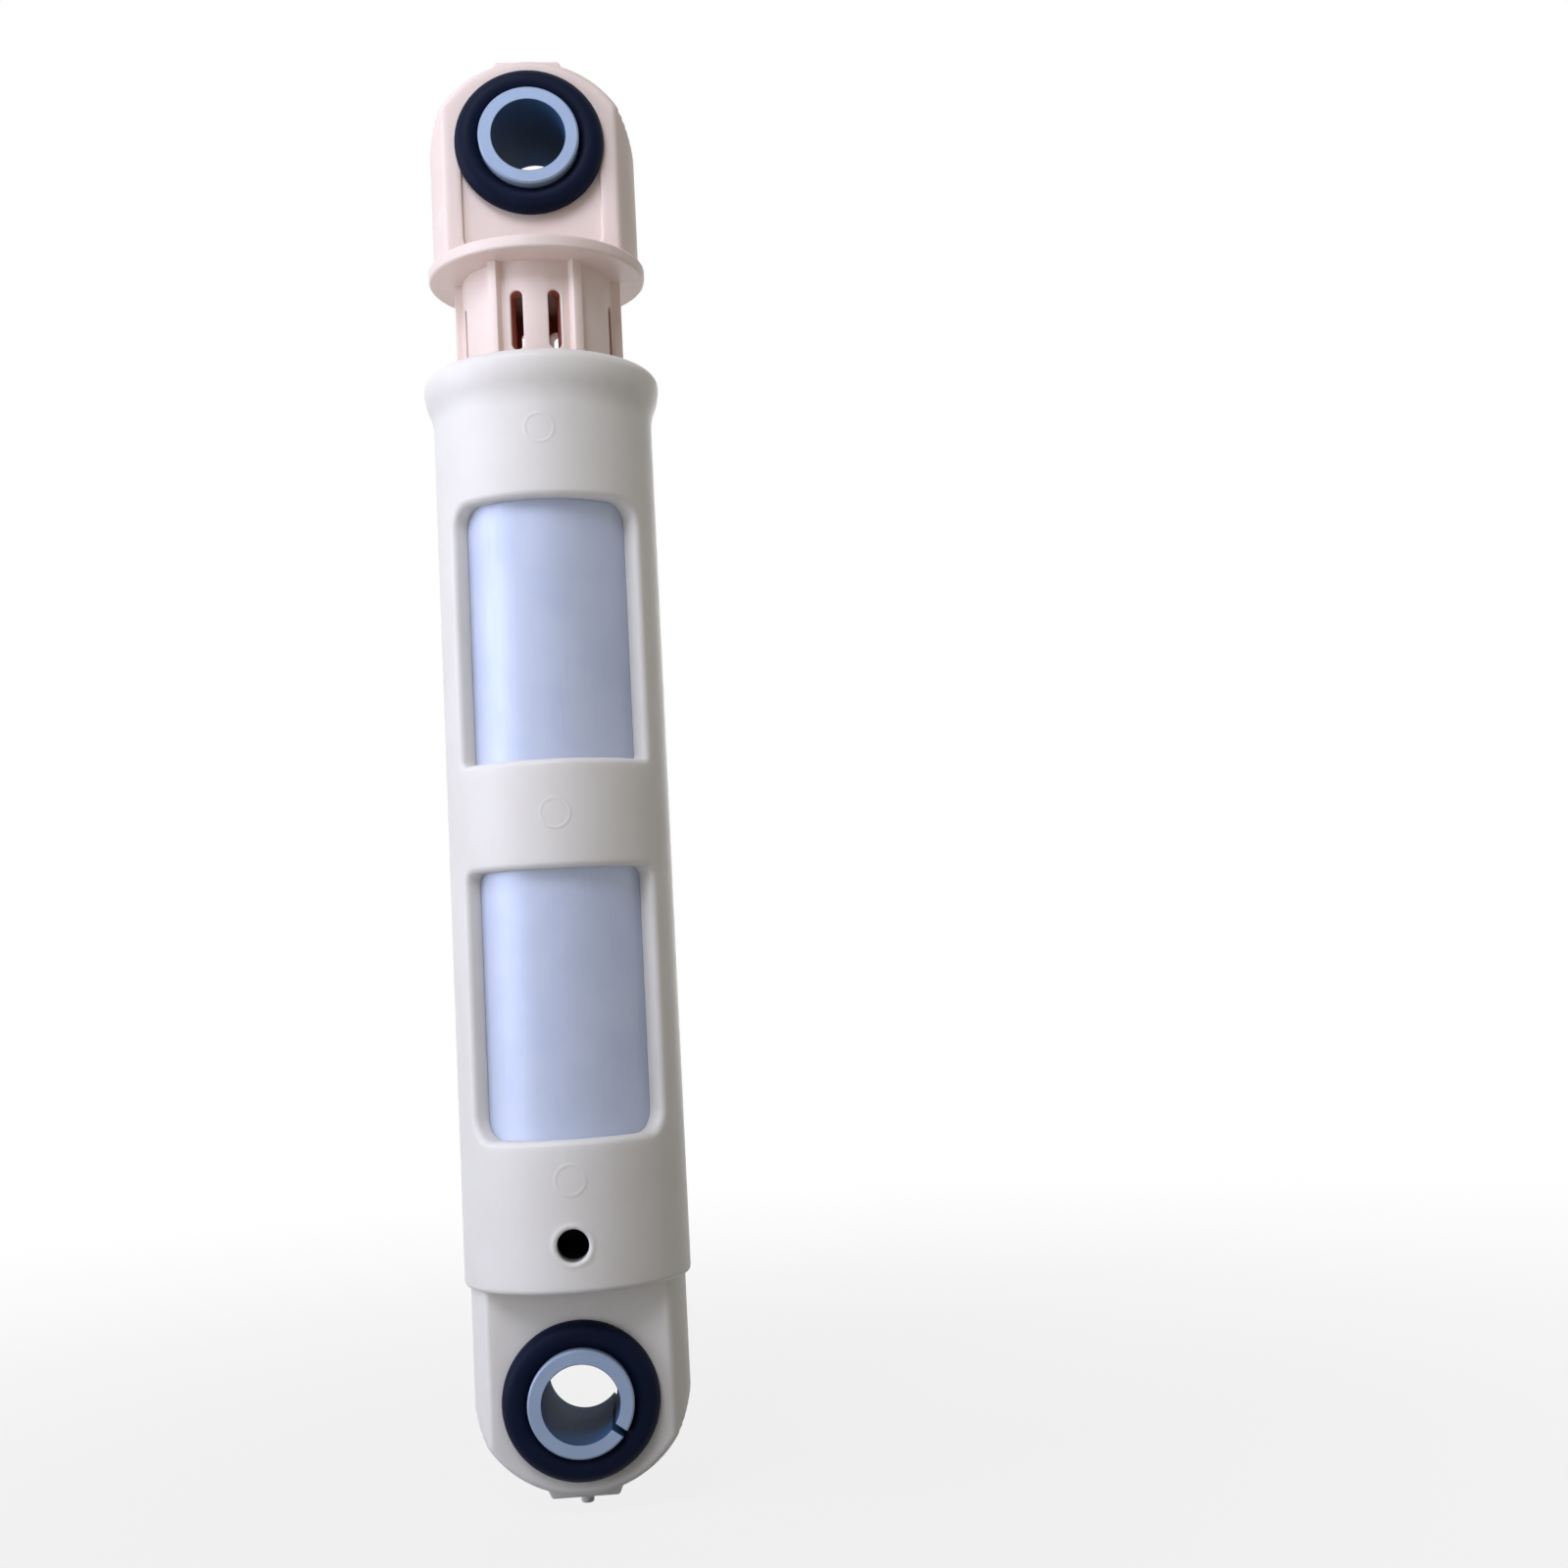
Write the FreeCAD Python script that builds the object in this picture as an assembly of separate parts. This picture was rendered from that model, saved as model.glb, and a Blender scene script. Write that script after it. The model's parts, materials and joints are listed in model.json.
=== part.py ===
import FreeCAD, Part
import math
import os

from FreeCAD import Vector

# A friction damper that stands upright: the lower eye's axis is the origin and lies along Y,
# +Z runs up the damper to the upper eye, and -Y is its front.  All sizes are in millimetres.

# Pose of the plunger in the housing
closing_travel = 15.0
closed_gap = 0.3
foot_gap = 1.5

# Moulded housing
body_radius = 16.5
body_bottom = 15.85
body_length = 134.85
body_edge_round = 0.8
floor_thickness = 3.65
chamber_step = 0.2
flare_length = 6.3
lip_swell = 1.3
lip_round = 1.7
lip_depth = 4.7
mouth_relief = 0.1
mouth_chamfer = 0.8

# Windows in the housing, one pair at the front and one at the back
window_half_angle = 55.0
window_height = 38.2
window_band = 15.6
lower_window_bottom = 37.0
window_end_corner = 3.5
lower_window_band_corner = 1.8
upper_window_band_corner = 0.8

# Breather hole low in the housing's front
vent_radius = 2.3
vent_height = 22.5
vent_chamfer = 0.45

# Steel liner that the housing is moulded around
liner_radius = 14.0
liner_wall = 1.0
liner_bottom = 28.0
liner_fit = 0.05

# Eyes of the housing and the plunger, alike at both ends
eye_radius = 15.65
eye_thickness = 17.5
eye_end_radius = 16.0
eye_reach = 13.25
eye_edge_round = 1.0
bush_seat_radius = 9.5
pad_width = 9.6
pad_height = 0.65
pad_slope = 1.3
pad_inset = 2.0
gate_radius = 0.95
gate_height = 2.4

# Rubber bush in each eye
bush_fit = 0.05
bush_flange_radius = 11.2
bush_flange_rim = 0.35
bush_crest_radius = 8.7
bush_crest = 2.2
bush_lip_drop = 0.7

# Rolled steel sleeve in each bush
sleeve_bore_radius = 5.5
sleeve_wall = 2.0
sleeve_length = 24.0
sleeve_chamfer = 0.25
sleeve_fit = 0.05
seam_gap = 0.9
seam_angle = -36.0

# Moulded plunger
flange_radius = 16.5
flange_thickness = 2.0
flange_round = 0.45
upper_eye_rise = 17.0
shaft_radius = 11.4
shaft_bore_radius = 8.6
shaft_crown = 2.5
guide_clearance = 0.3
rib_count = 6
first_rib_angle = 30.0
rib_width = 1.5
rib_root = 0.5
collar_thickness = 3.0
slot_width = 1.9
slot_height = 9.0
slot_drop = 4.6
slot_pair_angle = 14.4
slot_pairs = 4
panel_width = 20.8
panel_depth = 0.6
panel_foot = 1.0
panel_corner = 1.5

# Foam friction lining in the plunger's groove
lining_length = 32.6
lining_seat_radius = 10.6
lining_clearance = 0.2
lining_split = 0.8

# Heights and radii that follow from the sizes above
rim_height = body_bottom + body_length
floor_height = body_bottom + floor_thickness
liner_top = rim_height - lip_depth
liner_bore_radius = liner_radius - liner_wall
lip_radius = body_radius + lip_swell
mouth_radius = liner_bore_radius + mouth_relief
eye_half = eye_thickness / 2
sleeve_radius = sleeve_bore_radius + sleeve_wall
guide_radius = liner_bore_radius - guide_clearance
flange_bottom = rim_height + closed_gap + closing_travel
flange_top = flange_bottom + flange_thickness
eye_distance = flange_top + upper_eye_rise
plunger_foot = floor_height + foot_gap + closing_travel
groove_bottom = plunger_foot + collar_thickness
groove_top = groove_bottom + lining_length + 2 * lining_clearance
collar_top = groove_top + collar_thickness

# Length by which a cutting shape passes the faces that it cuts, and how closely edges are matched
overrun = 2.0
tolerance = 1e-6

axis_y = Vector(0, 1, 0)
axis_z = Vector(0, 0, 1)
origin = Vector(0, 0, 0)


def line(start, end):
    return Part.makeLine(start, end)


def arc(start, middle, end):
    return Part.Arc(start, middle, end).toShape()


def face_of(edges):
    return Part.Face(Part.Wire(edges))


def polygon_face(points):
    return Part.Face(Part.makePolygon(points + points[:1]))


def ring_about_z(outer, inner, bottom, top):
    profile = polygon_face([Vector(inner, 0, bottom), Vector(outer, 0, bottom),
                            Vector(outer, 0, top), Vector(inner, 0, top)])
    return profile.revolve(origin, axis_z, 360)


def post_about_z(radius, bottom, top):
    return Part.makeCylinder(radius, top - bottom, Vector(0, 0, bottom))


def bar_along_y(radius, length):
    return Part.makeCylinder(radius, length, Vector(0, -length / 2, 0), axis_y)


def turned(shape, angle, axis):
    copy = shape.copy()
    copy.rotate(origin, axis, angle)
    return copy


def lifted(shape, height):
    copy = shape.copy()
    copy.translate(Vector(0, 0, height))
    return copy


# Eye: a round bar with two flats and a rounded end, its bore axis on Y and its foot upwards
def make_eye(foot_height):
    end_centre = eye_end_radius - eye_reach
    outline = face_of([
        arc(Vector(-eye_end_radius, -eye_half, end_centre),
            Vector(0, -eye_half, -eye_reach),
            Vector(eye_end_radius, -eye_half, end_centre)),
        line(Vector(eye_end_radius, -eye_half, end_centre), Vector(eye_end_radius, -eye_half, foot_height)),
        line(Vector(eye_end_radius, -eye_half, foot_height), Vector(-eye_end_radius, -eye_half, foot_height)),
        line(Vector(-eye_end_radius, -eye_half, foot_height), Vector(-eye_end_radius, -eye_half, end_centre)),
    ])
    slab = outline.extrude(Vector(0, eye_thickness, 0))
    block = slab.common(post_about_z(eye_radius, -eye_reach - overrun, foot_height))
    block = block.makeFillet(eye_edge_round, eye_rim_edges(block, foot_height))
    return block.fuse(make_end_pad()).removeSplitter()


# Edges round the two flats, without the ones at the foot
def eye_rim_edges(block, foot_height):
    edges = []
    for edge in block.Edges:
        box = edge.BoundBox
        on_flat = box.YLength < tolerance and abs(abs(box.YMin) - eye_half) < tolerance
        at_foot = box.ZMin > foot_height - tolerance
        if on_flat and not at_foot:
            edges.append(edge)
    return edges


# Flat pad on the eye's rounded end
def make_end_pad():
    half_top = pad_width / 2
    half_foot = half_top + pad_slope
    sink = half_foot ** 2 / eye_end_radius
    depth = eye_thickness - 2 * pad_inset
    tip = -eye_reach - pad_height
    root = -eye_reach + sink
    profile = polygon_face([Vector(-half_top, -depth / 2, tip), Vector(half_top, -depth / 2, tip),
                            Vector(half_foot, -depth / 2, root), Vector(-half_foot, -depth / 2, root)])
    return profile.extrude(Vector(0, depth, 0))


def make_bush():
    bore = sleeve_radius + sleeve_fit
    waist = bush_seat_radius - bush_fit
    rim = eye_half + bush_flange_rim
    crest = eye_half + bush_crest
    lip = crest - bush_lip_drop
    run = bush_flange_radius - bush_crest_radius
    drop = crest - rim
    dome_radius = (run ** 2 + drop ** 2) / (2 * drop)
    half_sweep = math.asin(run / dome_radius) / 2
    dome_x = bush_crest_radius + dome_radius * math.sin(half_sweep)
    dome_y = crest - dome_radius * (1 - math.cos(half_sweep))

    def flange_edges(side):
        at_lip = Vector(bore, side * lip, 0)
        at_crest = Vector(bush_crest_radius, side * crest, 0)
        at_rim = Vector(bush_flange_radius, side * rim, 0)
        at_face = Vector(bush_flange_radius, side * eye_half, 0)
        at_waist = Vector(waist, side * eye_half, 0)
        return [line(at_lip, at_crest),
                arc(at_crest, Vector(dome_x, side * dome_y, 0), at_rim),
                line(at_rim, at_face),
                line(at_face, at_waist)]

    waist_edge = line(Vector(waist, eye_half, 0), Vector(waist, -eye_half, 0))
    bore_edge = line(Vector(bore, -lip, 0), Vector(bore, lip, 0))
    edges = flange_edges(1) + [waist_edge] + flange_edges(-1) + [bore_edge]
    profile = Part.Face(Part.Wire(Part.__sortEdges__(edges)))
    return profile.revolve(origin, axis_y, 360)


def make_sleeve(open_seam):
    half = sleeve_length / 2
    shoulder = sleeve_radius - sleeve_chamfer
    profile = polygon_face([Vector(sleeve_bore_radius, -half, 0), Vector(shoulder, -half, 0),
                            Vector(sleeve_radius, -half + sleeve_chamfer, 0),
                            Vector(sleeve_radius, half - sleeve_chamfer, 0),
                            Vector(shoulder, half, 0), Vector(sleeve_bore_radius, half, 0)])
    sleeve = profile.revolve(origin, axis_y, 360)
    if not open_seam:
        return sleeve
    seam = Part.makeBox(sleeve_radius + overrun, sleeve_length + 2 * overrun, seam_gap,
                        Vector(0, -half - overrun, -seam_gap / 2))
    return sleeve.cut(turned(seam, -seam_angle, axis_y))


# Outside of the housing: a round body that swells smoothly to a rolled lip
def make_body():
    flare_end = rim_height - lip_round
    flare_start = flare_end - flare_length
    flare_radius = (flare_length ** 2 + lip_swell ** 2) / (4 * lip_swell)
    half_turn = math.asin(flare_length / (2 * flare_radius)) / 2
    side = flare_radius * (1 - math.cos(half_turn))
    climb = flare_radius * math.sin(half_turn)
    diagonal = math.sqrt(0.5)

    foot = Vector(0, 0, body_bottom)
    foot_edge = Vector(body_radius - body_edge_round, 0, body_bottom)
    edge_bulge = Vector(body_radius - body_edge_round * (1 - diagonal), 0,
                        body_bottom + body_edge_round * (1 - diagonal))
    wall_foot = Vector(body_radius, 0, body_bottom + body_edge_round)
    wall_top = Vector(body_radius, 0, flare_start)
    flare_middle = Vector(body_radius + lip_swell / 2, 0, flare_start + flare_length / 2)
    lip_side = Vector(lip_radius, 0, flare_end)
    lip_bulge = Vector(lip_radius - lip_round * (1 - diagonal), 0,
                       rim_height - lip_round * (1 - diagonal))
    lip_top = Vector(lip_radius - lip_round, 0, rim_height)
    crown = Vector(0, 0, rim_height)

    profile = face_of([
        line(foot, foot_edge),
        arc(foot_edge, edge_bulge, wall_foot),
        line(wall_foot, wall_top),
        arc(wall_top, Vector(body_radius + side, 0, flare_start + climb), flare_middle),
        arc(flare_middle, Vector(lip_radius - side, 0, flare_end - climb), lip_side),
        arc(lip_side, lip_bulge, lip_top),
        line(lip_top, crown),
        line(crown, foot),
    ])
    return profile.revolve(origin, axis_z, 360)


# Stepped bore: chamber, liner seat, and a lip that covers the liner's upper end
def make_body_bore():
    seat = liner_radius + liner_fit
    chamber = liner_bore_radius - chamber_step
    profile = polygon_face([Vector(0, 0, floor_height), Vector(chamber, 0, floor_height),
                            Vector(chamber, 0, liner_bottom), Vector(seat, 0, liner_bottom),
                            Vector(seat, 0, liner_top), Vector(mouth_radius, 0, liner_top),
                            Vector(mouth_radius, 0, rim_height - mouth_chamfer),
                            Vector(mouth_radius + mouth_chamfer, 0, rim_height),
                            Vector(mouth_radius + mouth_chamfer, 0, rim_height + overrun),
                            Vector(0, 0, rim_height + overrun)])
    return profile.revolve(origin, axis_z, 360)


# Window cutter at the front: radial side walls, and corners rounded by their own radius
def make_window(bottom, bottom_corner, top_corner):
    reach = lip_radius + overrun
    wedge = Part.makeCylinder(reach, window_height, Vector(0, 0, bottom), axis_z, 2 * window_half_angle)
    wedge.rotate(origin, axis_z, -90 - window_half_angle)
    cutter = wedge.cut(post_about_z(liner_bore_radius, bottom - overrun, bottom + window_height + overrun))
    cutter = cutter.makeFillet(bottom_corner, radial_edges(cutter, bottom))
    return cutter.makeFillet(top_corner, radial_edges(cutter, bottom + window_height))


def radial_edges(shape, height):
    edges = []
    for edge in shape.Edges:
        box = edge.BoundBox
        level = box.ZLength < tolerance and abs(box.ZMin - height) < tolerance
        if level and isinstance(edge.Curve, Part.Line):
            edges.append(edge)
    return edges


def make_vent():
    drill = Part.makeCylinder(vent_radius, body_radius + overrun, Vector(0, 0, vent_height), -axis_y)
    rise = vent_chamfer + overrun
    countersink = Part.makeCone(vent_radius, vent_radius + rise, rise,
                                Vector(0, -body_radius + vent_chamfer, vent_height), -axis_y)
    return drill.fuse(countersink)


def make_gate_mark():
    tip = -eye_reach - pad_height
    return post_about_z(gate_radius, tip - gate_height, tip + pad_height)


def make_housing():
    shape = make_body().fuse([make_eye(body_bottom + body_edge_round), make_gate_mark()])
    shape = shape.cut(make_body_bore())
    upper_window_bottom = lower_window_bottom + window_height + window_band
    lower_window = make_window(lower_window_bottom, window_end_corner, lower_window_band_corner)
    upper_window = make_window(upper_window_bottom, upper_window_band_corner, window_end_corner)
    for window in (lower_window, upper_window):
        shape = shape.cut([window, turned(window, 180, axis_z)])
    bush_seat = bar_along_y(bush_seat_radius, eye_thickness + 2 * overrun)
    shape = shape.cut([make_vent(), bush_seat])
    return shape.removeSplitter()


def make_liner():
    return ring_about_z(liner_radius, liner_bore_radius, liner_bottom, liner_top)


def make_flange():
    disc = post_about_z(flange_radius, flange_bottom, flange_top)
    rim = [edge for edge in disc.Edges if isinstance(edge.Curve, Part.Circle)]
    return disc.makeFillet(flange_round, rim)


# Hollow shaft with guide ribs, and two collars that hold the lining between them
def make_shaft():
    solids = [post_about_z(guide_radius, plunger_foot, groove_bottom),
              post_about_z(lining_seat_radius, groove_bottom, groove_top),
              post_about_z(guide_radius, groove_top, collar_top)]
    root = shaft_radius - rib_root
    rib = Part.makeBox(guide_radius - root, rib_width, flange_bottom - collar_top,
                       Vector(root, -rib_width / 2, collar_top))
    rib = rib.common(post_about_z(guide_radius, collar_top, flange_bottom))
    for number in range(rib_count):
        solids.append(turned(rib, first_rib_angle + number * 360 / rib_count, axis_z))
    return post_about_z(shaft_radius, collar_top, flange_bottom).fuse(solids)


# Breather slot through the shaft's front wall, with round ends
def make_slot():
    half = slot_width / 2
    top = flange_bottom - slot_drop
    bottom = top - slot_height
    outline = face_of([
        line(Vector(half, 0, bottom + half), Vector(half, 0, top - half)),
        arc(Vector(half, 0, top - half), Vector(0, 0, top), Vector(-half, 0, top - half)),
        line(Vector(-half, 0, top - half), Vector(-half, 0, bottom + half)),
        arc(Vector(-half, 0, bottom + half), Vector(0, 0, bottom), Vector(half, 0, bottom + half)),
    ])
    return outline.extrude(Vector(0, -shaft_radius - overrun, 0))


# Shallow panel sunk into one flat of the upper eye, from just above the flange to the bush
def make_panel():
    bottom = flange_top + panel_foot
    panel = Part.makeBox(panel_width, panel_depth + overrun, eye_distance - bottom,
                         Vector(-panel_width / 2, -eye_half - overrun, bottom))
    corners = []
    for edge in panel.Edges:
        if edge.BoundBox.YLength > panel_depth:
            corners.append(edge)
    return panel.makeFillet(panel_corner, corners)


def make_plunger():
    eye = lifted(turned(make_eye(upper_eye_rise), 180, axis_y), eye_distance)
    shape = make_flange().fuse([make_shaft(), eye])
    shape = shape.cut(post_about_z(shaft_bore_radius, plunger_foot - overrun, flange_bottom - shaft_crown))
    slot = make_slot()
    slots = []
    for pair in range(slot_pairs):
        for side in (-1, 1):
            slots.append(turned(slot, pair * 360 / slot_pairs + side * slot_pair_angle, axis_z))
    shape = shape.cut(slots)
    panel = make_panel()
    seat = lifted(bar_along_y(bush_seat_radius, eye_thickness + 2 * overrun), eye_distance)
    return shape.cut([panel, turned(panel, 180, axis_z), seat]).removeSplitter()


# Foam strip wrapped into the groove, its two ends nearly meeting at the back
def make_lining():
    bottom = groove_bottom + lining_clearance
    inner = lining_seat_radius + lining_clearance
    outer = liner_bore_radius - lining_clearance
    strip = ring_about_z(outer, inner, bottom, bottom + lining_length)
    split = Part.makeBox(lining_split, outer + overrun, lining_length + 2 * overrun,
                         Vector(-lining_split / 2, 0, bottom - overrun))
    return strip.cut(split)


parts = {
    "housing": make_housing(),
    "liner_tube": make_liner(),
    "lower_bush": make_bush(),
    "lower_sleeve": make_sleeve(open_seam=True),
    "plunger": make_plunger(),
    "friction_lining": make_lining(),
    "upper_bush": lifted(make_bush(), eye_distance),
    "upper_sleeve": lifted(make_sleeve(open_seam=False), eye_distance),
}

os.makedirs("parts", exist_ok=True)
for name, shape in parts.items():
    shape.exportStep(f"parts/{name}.step")
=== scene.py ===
"""A telescopic friction damper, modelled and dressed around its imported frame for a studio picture."""

import json
import logging
import math
from dataclasses import dataclass, replace
from enum import Enum
from typing import Iterable, Sequence, Union

import bmesh
import bpy
from mathutils import Matrix, Vector

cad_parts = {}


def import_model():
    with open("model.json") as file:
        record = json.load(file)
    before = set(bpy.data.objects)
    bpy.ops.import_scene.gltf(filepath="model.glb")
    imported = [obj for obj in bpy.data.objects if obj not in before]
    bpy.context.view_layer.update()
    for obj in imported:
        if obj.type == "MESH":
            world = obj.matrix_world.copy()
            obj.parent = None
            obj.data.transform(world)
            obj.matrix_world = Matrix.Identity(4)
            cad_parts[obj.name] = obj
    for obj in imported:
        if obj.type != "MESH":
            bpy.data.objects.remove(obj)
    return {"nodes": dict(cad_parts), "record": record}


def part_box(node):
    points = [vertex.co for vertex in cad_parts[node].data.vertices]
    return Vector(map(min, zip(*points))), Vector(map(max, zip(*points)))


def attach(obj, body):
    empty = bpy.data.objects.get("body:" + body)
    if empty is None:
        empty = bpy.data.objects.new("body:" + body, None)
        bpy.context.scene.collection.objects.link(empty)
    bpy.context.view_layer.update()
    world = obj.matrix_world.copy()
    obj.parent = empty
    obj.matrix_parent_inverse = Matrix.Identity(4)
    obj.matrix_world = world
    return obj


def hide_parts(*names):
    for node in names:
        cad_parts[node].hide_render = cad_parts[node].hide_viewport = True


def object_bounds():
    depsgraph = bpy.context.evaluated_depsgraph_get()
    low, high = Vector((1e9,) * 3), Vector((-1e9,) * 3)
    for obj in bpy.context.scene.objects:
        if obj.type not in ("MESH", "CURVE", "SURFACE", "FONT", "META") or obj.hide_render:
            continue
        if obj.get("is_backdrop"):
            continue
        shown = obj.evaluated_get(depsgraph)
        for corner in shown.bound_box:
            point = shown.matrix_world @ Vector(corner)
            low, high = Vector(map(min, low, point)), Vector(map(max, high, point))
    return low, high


LOG = logging.getLogger("damper")
MM = 0.001  # One millimetre in metres.
WELD = 0.001  # Millimetres within which vertices become one.
SMOOTH_ANGLE = 34.0  # Degrees beyond which an edge stays crisp.
SHARP = ((0.0, 0.0),)  # Section of an edge that isn't rounded.
TINY = 1e-6  # What counts as nothing for a sine or a cosine.
EVEN = (1.0, 1.0, 1.0)  # A stretch that changes nothing.
WHITE = (1.0, 1.0, 1.0, 1.0)  # Plain white with its alpha.

Pair = tuple[float, float]
Point = tuple[float, float, float]
Colour = tuple[float, float, float]
Loop = list[bmesh.types.BMVert]
EyeRow = tuple[list[float], float]
Setting = Union[str, float, bool, int]


class Axis(Enum):
    """The line that a turned form goes round."""

    UP = "up"
    BORE = "bore"

    def place(self, radius: float, along: float, turn: float) -> Point:
        """Puts a point by its radius, its distance along the axis and its turn.

        Args:
            radius: Distance from the axis, in millimetres.
            along: Distance along the axis, in millimetres.
            turn: Degrees from the front for UP, and from the top for BORE.

        Returns:
            The point in the damper's frame, in millimetres.
        """
        side = radius * math.sin(math.radians(turn))
        ahead = radius * math.cos(math.radians(turn))
        if self is Axis.UP:
            return (side, -ahead, along)
        return (side, along, ahead)


class Seam(Enum):
    """Whether the rolled edges of a sleeve meet."""

    OPEN = "open"
    CLOSED = "closed"


class End(Enum):
    """The end of the damper that an eye is on, as the way from its foot to its tip."""

    LOWER = -1.0
    UPPER = 1.0


class Detail(Enum):
    """How many sizes of feature a noise mixes."""

    PLAIN = 2.0
    RICH = 3.0


def spread(start: float, end: float, steps: int) -> list[float]:
    """Gives evenly spaced values from start to end, both included."""
    return [start + (end - start) * k / steps for k in range(steps + 1)]


def arc(centre: Pair, radius: float, start: float, end: float, steps: int) -> list[Pair]:
    """Gives points along an arc, both ends included.

    Args:
        centre: The arc's centre.
        radius: The arc's radius.
        start: First angle in degrees from the first axis.
        end: Last angle in degrees.
        steps: Number of chords.

    Returns:
        The points, as pairs.
    """
    turns = [math.radians(turn) for turn in spread(start, end, steps)]
    return [(centre[0] + radius * math.cos(turn), centre[1] + radius * math.sin(turn)) for turn in turns]


def round_edge(radius: float, steps: int) -> list[Pair]:
    """Gives a quarter round as (distance outside the opening, depth below the face)."""
    leans = [math.radians(turn) for turn in spread(0.0, 90.0, steps)]
    return [(radius * (1.0 - math.sin(lean)), radius * (1.0 - math.cos(lean))) for lean in leans]


def blend_pairs(first: Sequence[Pair], second: Sequence[Pair], share: float) -> list[Pair]:
    """Moves each point of the first list by a share of its way to the second."""
    return [(a[0] + (b[0] - a[0]) * share, a[1] + (b[1] - a[1]) * share) for a, b in zip(first, second)]


class MeshMaker:
    """Collects loops of vertices in millimetres and skins them into one smooth object."""

    def __init__(self) -> None:
        """Starts an empty mesh."""
        self.mesh = bmesh.new()

    def loop(self, points: Iterable[Point]) -> Loop:
        """Adds a row of vertices."""
        return [self.mesh.verts.new(Vector(point) * MM) for point in points]

    def bridge(self, first: Loop, second: Loop, closed: bool = True) -> None:
        """Joins two loops of the same length with four-sided faces."""
        count = len(first)
        for k in range(count if closed else count - 1):
            following = (k + 1) % count
            self.mesh.faces.new((first[k], first[following], second[following], second[k]))

    def skin(self, loops: Sequence[Loop], closed: bool = True, ring: bool = False) -> None:
        """Joins each loop to the next, and the last to the first where they form a ring."""
        for first, second in zip(loops, loops[1:]):
            self.bridge(first, second, closed)
        if ring:
            self.bridge(loops[-1], loops[0], closed)

    def cap(self, loop: Loop) -> None:
        """Closes a loop with one flat face."""
        self.mesh.faces.new(loop)

    def turn_round(self, profile: Sequence[Pair], axis: Axis, steps: int, lift: float = 0.0) -> None:
        """Turns a closed profile all the way round an axis.

        Args:
            profile: Points as (radius, distance along the axis).
            axis: The axis to go round.
            steps: Number of sides.
            lift: Height of the axis where it lies along the bore.
        """
        loops = []
        for turn in spread(0.0, 360.0, steps)[:-1]:
            placed = [axis.place(radius, along, turn) for radius, along in profile]
            loops.append(self.loop((x, y, z + lift) for x, y, z in placed))
        self.skin(loops, ring=True)

    def soften(self, width: float, steps: int) -> None:
        """Rounds every edge of what has been made so far."""
        bmesh.ops.bevel(self.mesh, geom=self.mesh.edges[:], offset=width * MM, segments=steps,
                        profile=0.5, affect="EDGES")

    def finish(self, name: str) -> bpy.types.Object:
        """Welds the mesh and links it as an object.

        Args:
            name: The object's name.

        Returns:
            The new object.
        """
        bmesh.ops.remove_doubles(self.mesh, verts=self.mesh.verts[:], dist=WELD * MM)
        bmesh.ops.dissolve_degenerate(self.mesh, dist=WELD * MM, edges=self.mesh.edges[:])
        bmesh.ops.recalc_face_normals(self.mesh, faces=self.mesh.faces[:])
        data = bpy.data.meshes.new(name)
        self.mesh.to_mesh(data)
        self.mesh.free()
        obj = bpy.data.objects.new(name, data)
        bpy.context.scene.collection.objects.link(obj)
        return obj


def fuse(base: bpy.types.Object, others: Sequence[bpy.types.Object]) -> bpy.types.Object:
    """Unites closed meshes with a base and evens out the shading.

    Args:
        base: The object that takes in the others.
        others: Objects that become part of the base and are removed.

    Returns:
        The base.
    """
    for other in others:
        union = base.modifiers.new("fuse", "BOOLEAN")
        union.operation = "UNION"
        union.solver = "EXACT"
        union.object = other
    smooth(base)
    for other in others:
        bpy.data.objects.remove(other)
    return base


def smooth(obj: bpy.types.Object) -> bpy.types.Object:
    """Applies an object's modifiers, and shades it smooth with crisp edges and flat faces kept flat."""
    bake_modifiers(obj)
    obj.data.shade_smooth()
    obj.data.set_sharp_from_angle(angle=math.radians(SMOOTH_ANGLE))
    weighted = obj.modifiers.new("even", "WEIGHTED_NORMAL")
    weighted.keep_sharp = True
    bake_modifiers(obj)
    return obj


def bake_modifiers(obj: bpy.types.Object) -> None:
    """Replaces an object's mesh by what its modifiers make of it."""
    shaped = obj.evaluated_get(bpy.context.evaluated_depsgraph_get())
    before = obj.data
    obj.data = bpy.data.meshes.new_from_object(shaped)
    obj.modifiers.clear()
    name = before.name
    bpy.data.meshes.remove(before)
    obj.data.name = name


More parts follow.
